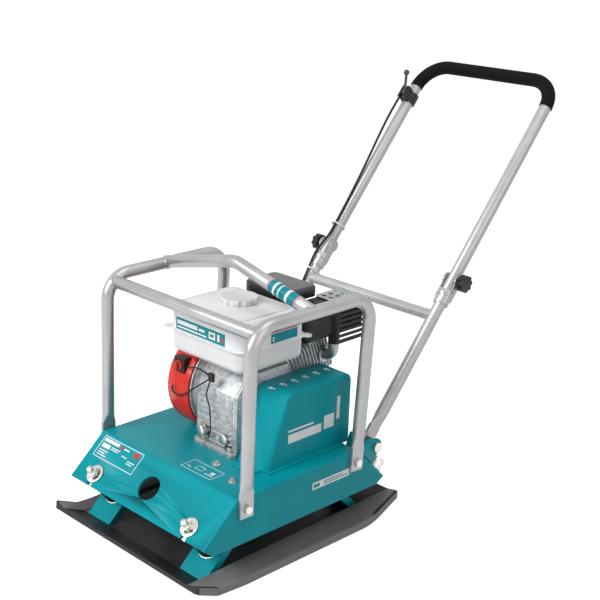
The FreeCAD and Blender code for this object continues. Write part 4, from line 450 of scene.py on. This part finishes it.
grip_rubber = surface("closed_cell_grip_foam", ("#0C0C0D", "#131314"), 4, (0.7, 0.82), 0.9, 0.05,
                      specular=0.1)
arm_coat = surface("bright_silver_coat", ("#A9A9AA", "#B6B6B7"), 90, (0.26, 0.36), 1.1, 0.01,
                   metallic=0.35, specular=0.35)
softened("lower_handle", "handle_lower", arm_coat, 0.5)
softened("upper_handle", "handle_upper", arm_coat, 0.4)
softened("grip_sleeve", "handle_upper", grip_rubber, 1.5)

# ---------------------------------------------------------------------------------------------
# Weld beads: the fillets that join the cage's cross members and the handle's cross tube, laid
# over the saddle line and coated with the tubes.


def tube_along(name, points, radius, material, closed=False, around=3, along=8):
    """A round tube: straight from point to point and closed, or smooth with capped ends."""
    curve = bpy.data.curves.new(name, "CURVE")
    curve.dimensions = "3D"
    curve.bevel_depth = radius
    curve.bevel_resolution = around
    curve.use_fill_caps = not closed
    curve.resolution_u = along
    spline = curve.splines.new("POLY" if closed else "NURBS")
    spline.points.add(len(points) - 1)
    for point, place in zip(spline.points, points):
        point.co = (*place, 1.0)
    if closed:
        spline.use_cyclic_u = True
    else:
        spline.order_u = 3
        spline.use_endpoint_u = True
    tube = bpy.data.objects.new(name, curve)
    bpy.context.scene.collection.objects.link(tube)
    only(tube)
    bpy.ops.object.convert(target="MESH")
    tube = bpy.context.object
    bpy.ops.object.shade_smooth()
    tube.data.materials.clear()
    tube.data.materials.append(material)
    return tube


bead_radius, bead_points = 0.0017, 48
ripple_share, ripple_count = 0.012, 16


def weld_bead(name, centre, tube_axis, bar_axis, bar_radius, tube_radius, body, material):
    """A raised bead with a slight ripple, along the line where a bar meets a tube."""
    centre = Vector(centre)
    tube_axis, bar_axis = Vector(tube_axis).normalized(), Vector(bar_axis).normalized()
    sideways = bar_axis.cross(tube_axis).normalized()
    points = []
    for k in range(bead_points):
        turn = 2 * math.pi * k / bead_points
        ripple = 1 + ripple_share * math.sin(turn * ripple_count)
        off, along = bar_radius * ripple * math.sin(turn), bar_radius * ripple * math.cos(turn)
        reach = math.sqrt(max(tube_radius ** 2 - off ** 2, 0.0))
        points.append(centre + bar_axis * reach + sideways * off + tube_axis * along)
    bead = tube_along(name, points, bead_radius, material, closed=True)
    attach(bead, body)


pivot_y, pivot_z = 0.210, 0.161
tilt = math.radians(50)
arm_line = (0, math.cos(tilt), math.sin(tilt))
cross_tube_along = 0.294
cross_tube_y = pivot_y + cross_tube_along * arm_line[1]
cross_tube_z = pivot_z + cross_tube_along * arm_line[2]
for side, label in ((-1, "left"), (1, "right")):
    weld_bead("cross_tube_weld_" + label, (side * 0.1746, cross_tube_y, cross_tube_z), arm_line,
              (-side, 0, 0), 0.0117, 0.0127, "handle_lower", arm_coat)
    weld_bead("front_bar_weld_" + label, (side * 0.2043, -0.124, 0.474), (0, 0.74, 0.672),
              (-side, 0, 0), 0.0124, 0.0127, "chassis", silver_coat)
    weld_bead("arch_weld_" + label, (side * 0.2043, 0.008, 0.4875), (0, 1, 0),
              (-side * 0.974, 0, 0.227), 0.0127, 0.0127, "chassis", silver_coat)

# ---------------------------------------------------------------------------------------------
# Engine's loose wires: the stop switch's lead and its drop to the oil sensor in black sleeving,
# and the bent control rod in front of the blower, with the clip where they meet.

wire_sleeve = surface("black_glass_sleeving", ("#101011", "#18181A"), 6, (0.45, 0.6), 0.8, 0.01,
                      specular=0.3)
for label, radius, route in (
        ("stop_lead", 1.6, ((-73, -50, 316), (-58, -60, 320), (-38, -66, 330), (-12, -69, 334),
                            (6, -67, 330), (13, -63, 322))),
        ("sensor_lead", 1.4, ((13, -63, 322), (12, -64, 312), (3, -63, 292), (1, -63, 280),
                              (11, -63, 262), (13, -63, 236), (14, -63, 213), (9, -62, 200),
                              (3, -59, 192))),
        ("control_rod", 1.5, ((14, -64.5, 321), (-10, -65.5, 303), (-42, -65.5, 279),
                              (-66, -65, 261), (-80, -65, 256), (-94, -65, 258),
                              (-101, -65, 265), (-98, -65, 272)))):
    route = [(x / 1000, y / 1000, z / 1000) for x, y, z in route]
    wire = tube_along(label, route, radius / 1000, wire_sleeve)
    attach(wire, "chassis")
bpy.ops.mesh.primitive_cube_add(size=1, location=(0.0135, -0.0615, 0.322),
                                scale=(0.013, 0.007, 0.017))
clip = bpy.context.object
clip.name = "wire_clip"
bpy.ops.object.transform_apply(location=True, rotation=True, scale=True)
apply_modifier(clip, "BEVEL", width=0.0015, segments=3)
bpy.ops.object.shade_smooth_by_angle(angle=math.radians(35))
clip.data.materials.append(black_nylon)
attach(clip, "chassis")

# ---------------------------------------------------------------------------------------------
# Labels: thin printed foil stuck to the painted sheet. They carry plain frames and bars, and no
# words.

white_foil, teal_foil, red_foil, rose_foil = (
    surface(name, colours, 30, (0.35, 0.45), 1.5, 0.01, specular=specular)
    for name, colours, specular in (("white_printed_foil", ("#DCDCDC", "#E6E6E6"), 0.4),
                                    ("teal_printed_foil", ("#007C88", "#00858F"), 0.2),
                                    ("red_printed_foil", ("#C3281F", "#CC3126"), 0.3),
                                    ("rose_printed_foil", ("#C98A92", "#D6A0A6"), 0.3)))
foil_thickness, foil_edge = 0.0002, 0.0006


def foil(name, origin, across, up, bars):
    """A label of flat bars; each bar is (left, low, right, high in mm, foil, lift in mm)."""
    across, up = Vector(across).normalized(), Vector(up).normalized()
    outward = across.cross(up)
    pieces = []
    for left, low, wide, high, film, lift in bars:
        bpy.ops.mesh.primitive_plane_add(size=1)
        bar = bpy.context.object
        middle = (Vector(origin) + across * (left + wide) / 2000 + up * (low + high) / 2000
                  + outward * lift / 1000)
        bar.matrix_world = (Matrix.Translation(middle)
                            @ Matrix((across * (wide - left) / 1000, up * (high - low) / 1000,
                                      outward)).transposed().to_4x4())
        only(bar)
        bpy.ops.object.transform_apply(location=True, rotation=True, scale=True)
        apply_modifier(bar, "SOLIDIFY", thickness=foil_thickness, offset=1)
        apply_modifier(bar, "BEVEL", width=foil_edge, segments=2, affect="EDGES",
                       limit_method="ANGLE", use_clamp_overlap=True)
        bar.data.materials.append(film)
        pieces.append(bar)
    bpy.ops.object.select_all(action="DESELECT")
    for bar in pieces:
        bar.select_set(True)
    bpy.context.view_layer.objects.active = pieces[0]
    bpy.ops.object.join()
    label = bpy.context.object
    label.name = name
    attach(label, "chassis")


def frame_bars(left, low, wide, high, line, film, lift):
    """Four bars round a rectangle."""
    return [(left, low, wide, low + line, film, lift), (left, high - line, wide, high, film, lift),
            (left, low, left + line, high, film, lift), (wide - line, low, wide, high, film, lift)]


front_edge = Vector((0, -0.1615, 0.169))
front_down = Vector((0, -0.0815, -0.074)).normalized()
bars = frame_bars(-183, -53, -60, -6, 1.6, white_foil, 0.1)
bars += [(-178, -17, -132, -10, white_foil, 0.1), (-128, -17, -118, -12, red_foil, 0.1),
         (-116, -16, -100, -13, white_foil, 0.1), (-84, -21, -70, -10, red_foil, 0.1),
         (-176, -30, -152, -21, white_foil, 0.05), (-148, -24, -122, -22, white_foil, 0.1),
         (-148, -28, -126, -26, white_foil, 0.1), (-176, -37, -150, -35, white_foil, 0.1),
         (-176, -42, -156, -40, white_foil, 0.1), (-176, -47, -148, -45, white_foil, 0.1),
         (-112, -30, -96, -28, white_foil, 0.1), (-90, -34, -68, -32, white_foil, 0.1),
         (-90, -39, -74, -37, white_foil, 0.1)]
foil("front_label", front_edge, (1, 0, 0), -front_down, bars)

bars = frame_bars(0, 0, 84, 38, 1.2, white_foil, 0.1)
bars += frame_bars(26, 12, 46, 26, 1.2, white_foil, 0.1)
bars += [(56, 10, 78, 12.5, white_foil, 0.1), (64, 16, 74, 25, white_foil, 0.1),
         (8, 10, 18, 12, white_foil, 0.1)]
foil("deck_top_label", (0.024, -0.147, 0.169), (1, 0, 0), (0, 1, 0), bars)

bars = [(0, 0, 104, 15, white_foil, 0.1), (4, 4, 20, 11, teal_foil, 0.35),
        (30, 4, 98, 6, teal_foil, 0.35), (30, 9, 84, 11, teal_foil, 0.35)]
foil("side_label", (0.201, 0.031, 0.124), (0, 1, 0), (0, 0, 1), bars)

for k in range(6):
    foil("guard_top_mark_%d" % k, (0.106, -0.002 + 0.03 * k, 0.314), (1, 0, 0), (0, 1, 0),
         [(0, 0, 9, 9, white_foil, 0.1), (11, 3, 15, 8, white_foil, 0.1)])

bars = [(0, 0, 139, 24, teal_foil, 0.05), (4, 11, 62, 19, white_foil, 0.3),
        (66, 12, 82, 17, white_foil, 0.3), (4, 4, 88, 7, white_foil, 0.3),
        (94, 5, 112, 19, white_foil, 0.3), (98, 9, 108, 15, teal_foil, 0.5),
        (118, 5, 124, 19, white_foil, 0.3), (128, 7, 135, 14, red_foil, 0.3)]
foil("tank_front_label", (-0.066, -0.082, 0.4055), (1, 0, 0), (0, 0, 1), bars)

bars = [(0, 0, 69, 19, teal_foil, 0.05), (0, 20.5, 69, 23.5, red_foil, 0.05),
        (4, 4, 9, 7, white_foil, 0.3), (4, 9, 9, 12, white_foil, 0.3)]
foil("tank_side_label", (0.118, -0.008, 0.4065), (0, 1, 0), (0, 0, 1), bars)

bars = [(2, 0, 92, 18, white_foil, 0.1), (2, 23, 70, 27, white_foil, 0.1),
        (99, 2, 127, 30, white_foil, 0.1), (134, 14, 143, 62, white_foil, 0.1)]
foil("guard_side_label", (0.157, 0.004, 0.213), (0, 1, 0), (0, 0, 1), bars)

# The sleeve is wrapped round the lifting arch's right leg, which falls from the middle of the
# arch's bar to the cage's side tube.
tube_outer = 0.0127
arch_y, arch_top, arch_half, arch_fall = 0.008, 0.537, 204.3, 48.2
arch_cosine = 0.974
for label, film, middle, wide, lift in (("arch_sleeve", teal_foil, 135, 68, 0.25),
                                        ("arch_sleeve_upper_end", rose_foil, 99, 5, 0.28),
                                        ("arch_sleeve_lower_end", rose_foil, 171, 5, 0.28),
                                        ("arch_sleeve_mark_a", white_foil, 116, 5, 0.4),
                                        ("arch_sleeve_mark_b", white_foil, 128, 3, 0.4),
                                        ("arch_sleeve_mark_c", white_foil, 148, 6, 0.4)):
    bpy.ops.mesh.primitive_cylinder_add(
        vertices=64, radius=tube_outer + lift / 1000, depth=wide / 1000 / arch_cosine,
        end_fill_type="NOTHING",
        location=(middle / 1000, arch_y, arch_top - arch_fall / 1000 * middle / arch_half),
        rotation=(0, math.atan2(arch_half, -arch_fall), 0))
    sleeve = bpy.context.object
    sleeve.name = label
    bpy.ops.object.transform_apply(location=True, rotation=True, scale=True)
    apply_modifier(sleeve, "SOLIDIFY", thickness=foil_thickness, offset=1)
    bpy.ops.object.shade_smooth_by_angle(angle=math.radians(35))
    sleeve.data.materials.append(film)
    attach(sleeve, "chassis")

# ---------------------------------------------------------------------------------------------
# Throttle cable: a steel inner in a black plastic outer, from the lever down the front of the
# arm, inboard over the deck's rear and up to the carburettor. It is two pieces, which meet on the
# lower handle, and each one runs across a joint.

cable_sheath = surface("black_pvc_cable_sheath", ("#111113", "#19191B"), 8, (0.4, 0.5), 0.8, 0.01,
                       specular=0.3)
cable_radius = 0.00275
pivot = Vector((0, pivot_y, pivot_z))


def on_handle(along, front, x):
    """A point of the handle: along it from its pivot and in front of it, in millimetres."""
    return (x / 1000, pivot.y + (along * math.cos(tilt) - front * math.sin(tilt)) / 1000,
            pivot.z + (along * math.sin(tilt) + front * math.cos(tilt)) / 1000)


def cable_run(name, route, replaces):
    """A length of the throttle cable along its route's points."""
    run = tube_along(name, route, cable_radius, cable_sheath, around=4, along=10)
    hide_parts(*replaces)
    return run


upper_route = [on_handle(*place) for place in (
    (756.8, 30, -178.0), (715, 29, -180.5), (660, 24.2, -181.0), (600, 19.8, -179.0),
    (540, 16.4, -177.0), (480, 16.0, -174.6), (425, 16.7, -172.2), (394, 18.2, -170.6),
    (354, 21.6, -178.2), (334, 21.6, -177.6), (306, 18.4, -176.0), (256, 16.0, -171.5),
    (231, 16.3, -167.0))]
lower_route = [on_handle(*place) for place in (
    (231, 16.3, -167.0), (206, 16.6, -162.5), (162, 18.0, -151.5), (124, 16.2, -143.0),
    (92, 11.5, -137.0))]
lower_route += [(x / 1000, y / 1000, z / 1000) for x, y, z in
                ((-136.8, 259.6, 237.8), (-132, 243.5, 210), (-126, 226, 191.5), (-117.5, 205, 188),
                 (-109, 189, 203), (-103, 183, 231), (-98, 184.5, 265), (-91.5, 190, 297),
                 (-75.4, 195.6, 321))]
upper_cable = cable_run("throttle_cable_to_lever", upper_route, ("throttle_cable_upper",))
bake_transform(upper_cable)
lower_cable = cable_run("throttle_cable_to_engine", lower_route,
                        ("throttle_cable_lower", "throttle_cable_engine"))
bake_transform(lower_cable)

# ---------------------------------------------------------------------------------------------
# Cable ties: nylon straps pulled tight round the arm and the cable, each with its lock.

white_nylon = surface("natural_white_nylon", ("#CFCFCB", "#DADAD6"), 10, (0.4, 0.5), 0.8, 0.01)


strap_radius, strap_width, strap_thickness = 0.0138, 0.0042, 0.0011
lock_size, strap_slack_mm = 0.0062, 3.4


def cable_tie(name, along, x, cable_front, cable_x, body):
    """A strap round the arm that takes in the cable, with its lock at the side."""
    bpy.ops.mesh.primitive_cylinder_add(vertices=48, radius=strap_radius, depth=strap_width,
                                        end_fill_type="NOTHING")
    strap = bpy.context.object
    strap.name = name
    for vertex in strap.data.vertices:
        reach = max(0.0, vertex.co.y) / strap_radius
        vertex.co.y += reach ** 3 * ((cable_front + strap_slack_mm) / 1000 - strap_radius)
        vertex.co.x += reach ** 3 * (cable_x - x) / 1000
    apply_modifier(strap, "SOLIDIFY", thickness=strap_thickness, offset=1)
    bpy.ops.mesh.primitive_cube_add(size=lock_size, location=(0.0152, -0.002, 0))
    lock = bpy.context.object
    apply_modifier(lock, "BEVEL", width=0.0008, segments=2)
    bpy.ops.object.select_all(action="DESELECT")
    lock.select_set(True)
    strap.select_set(True)
    bpy.context.view_layer.objects.active = strap
    bpy.ops.object.join()
    up = Vector(on_handle(1, 0, 0)) - Vector(on_handle(0, 0, 0))
    front = Vector(on_handle(0, 1, 0)) - Vector(on_handle(0, 0, 0))
    up.normalize(), front.normalize()
    strap.matrix_world = (Matrix.Translation(on_handle(along, 0, x))
                          @ Matrix((front.cross(up), front, up)).transposed().to_4x4())
    only(strap)
    bpy.ops.object.transform_apply(location=True, rotation=True, scale=True)
    bpy.ops.object.shade_smooth_by_angle(angle=math.radians(40))
    strap.data.materials.clear()
    strap.data.materials.append(white_nylon)
    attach(strap, body)


cable_tie("upper_cable_tie", 428, -174.6, 16.8, -172.4, "handle_upper")
cable_tie("lower_cable_tie", 308, -174.6, 18.6, -176.2, "handle_lower")
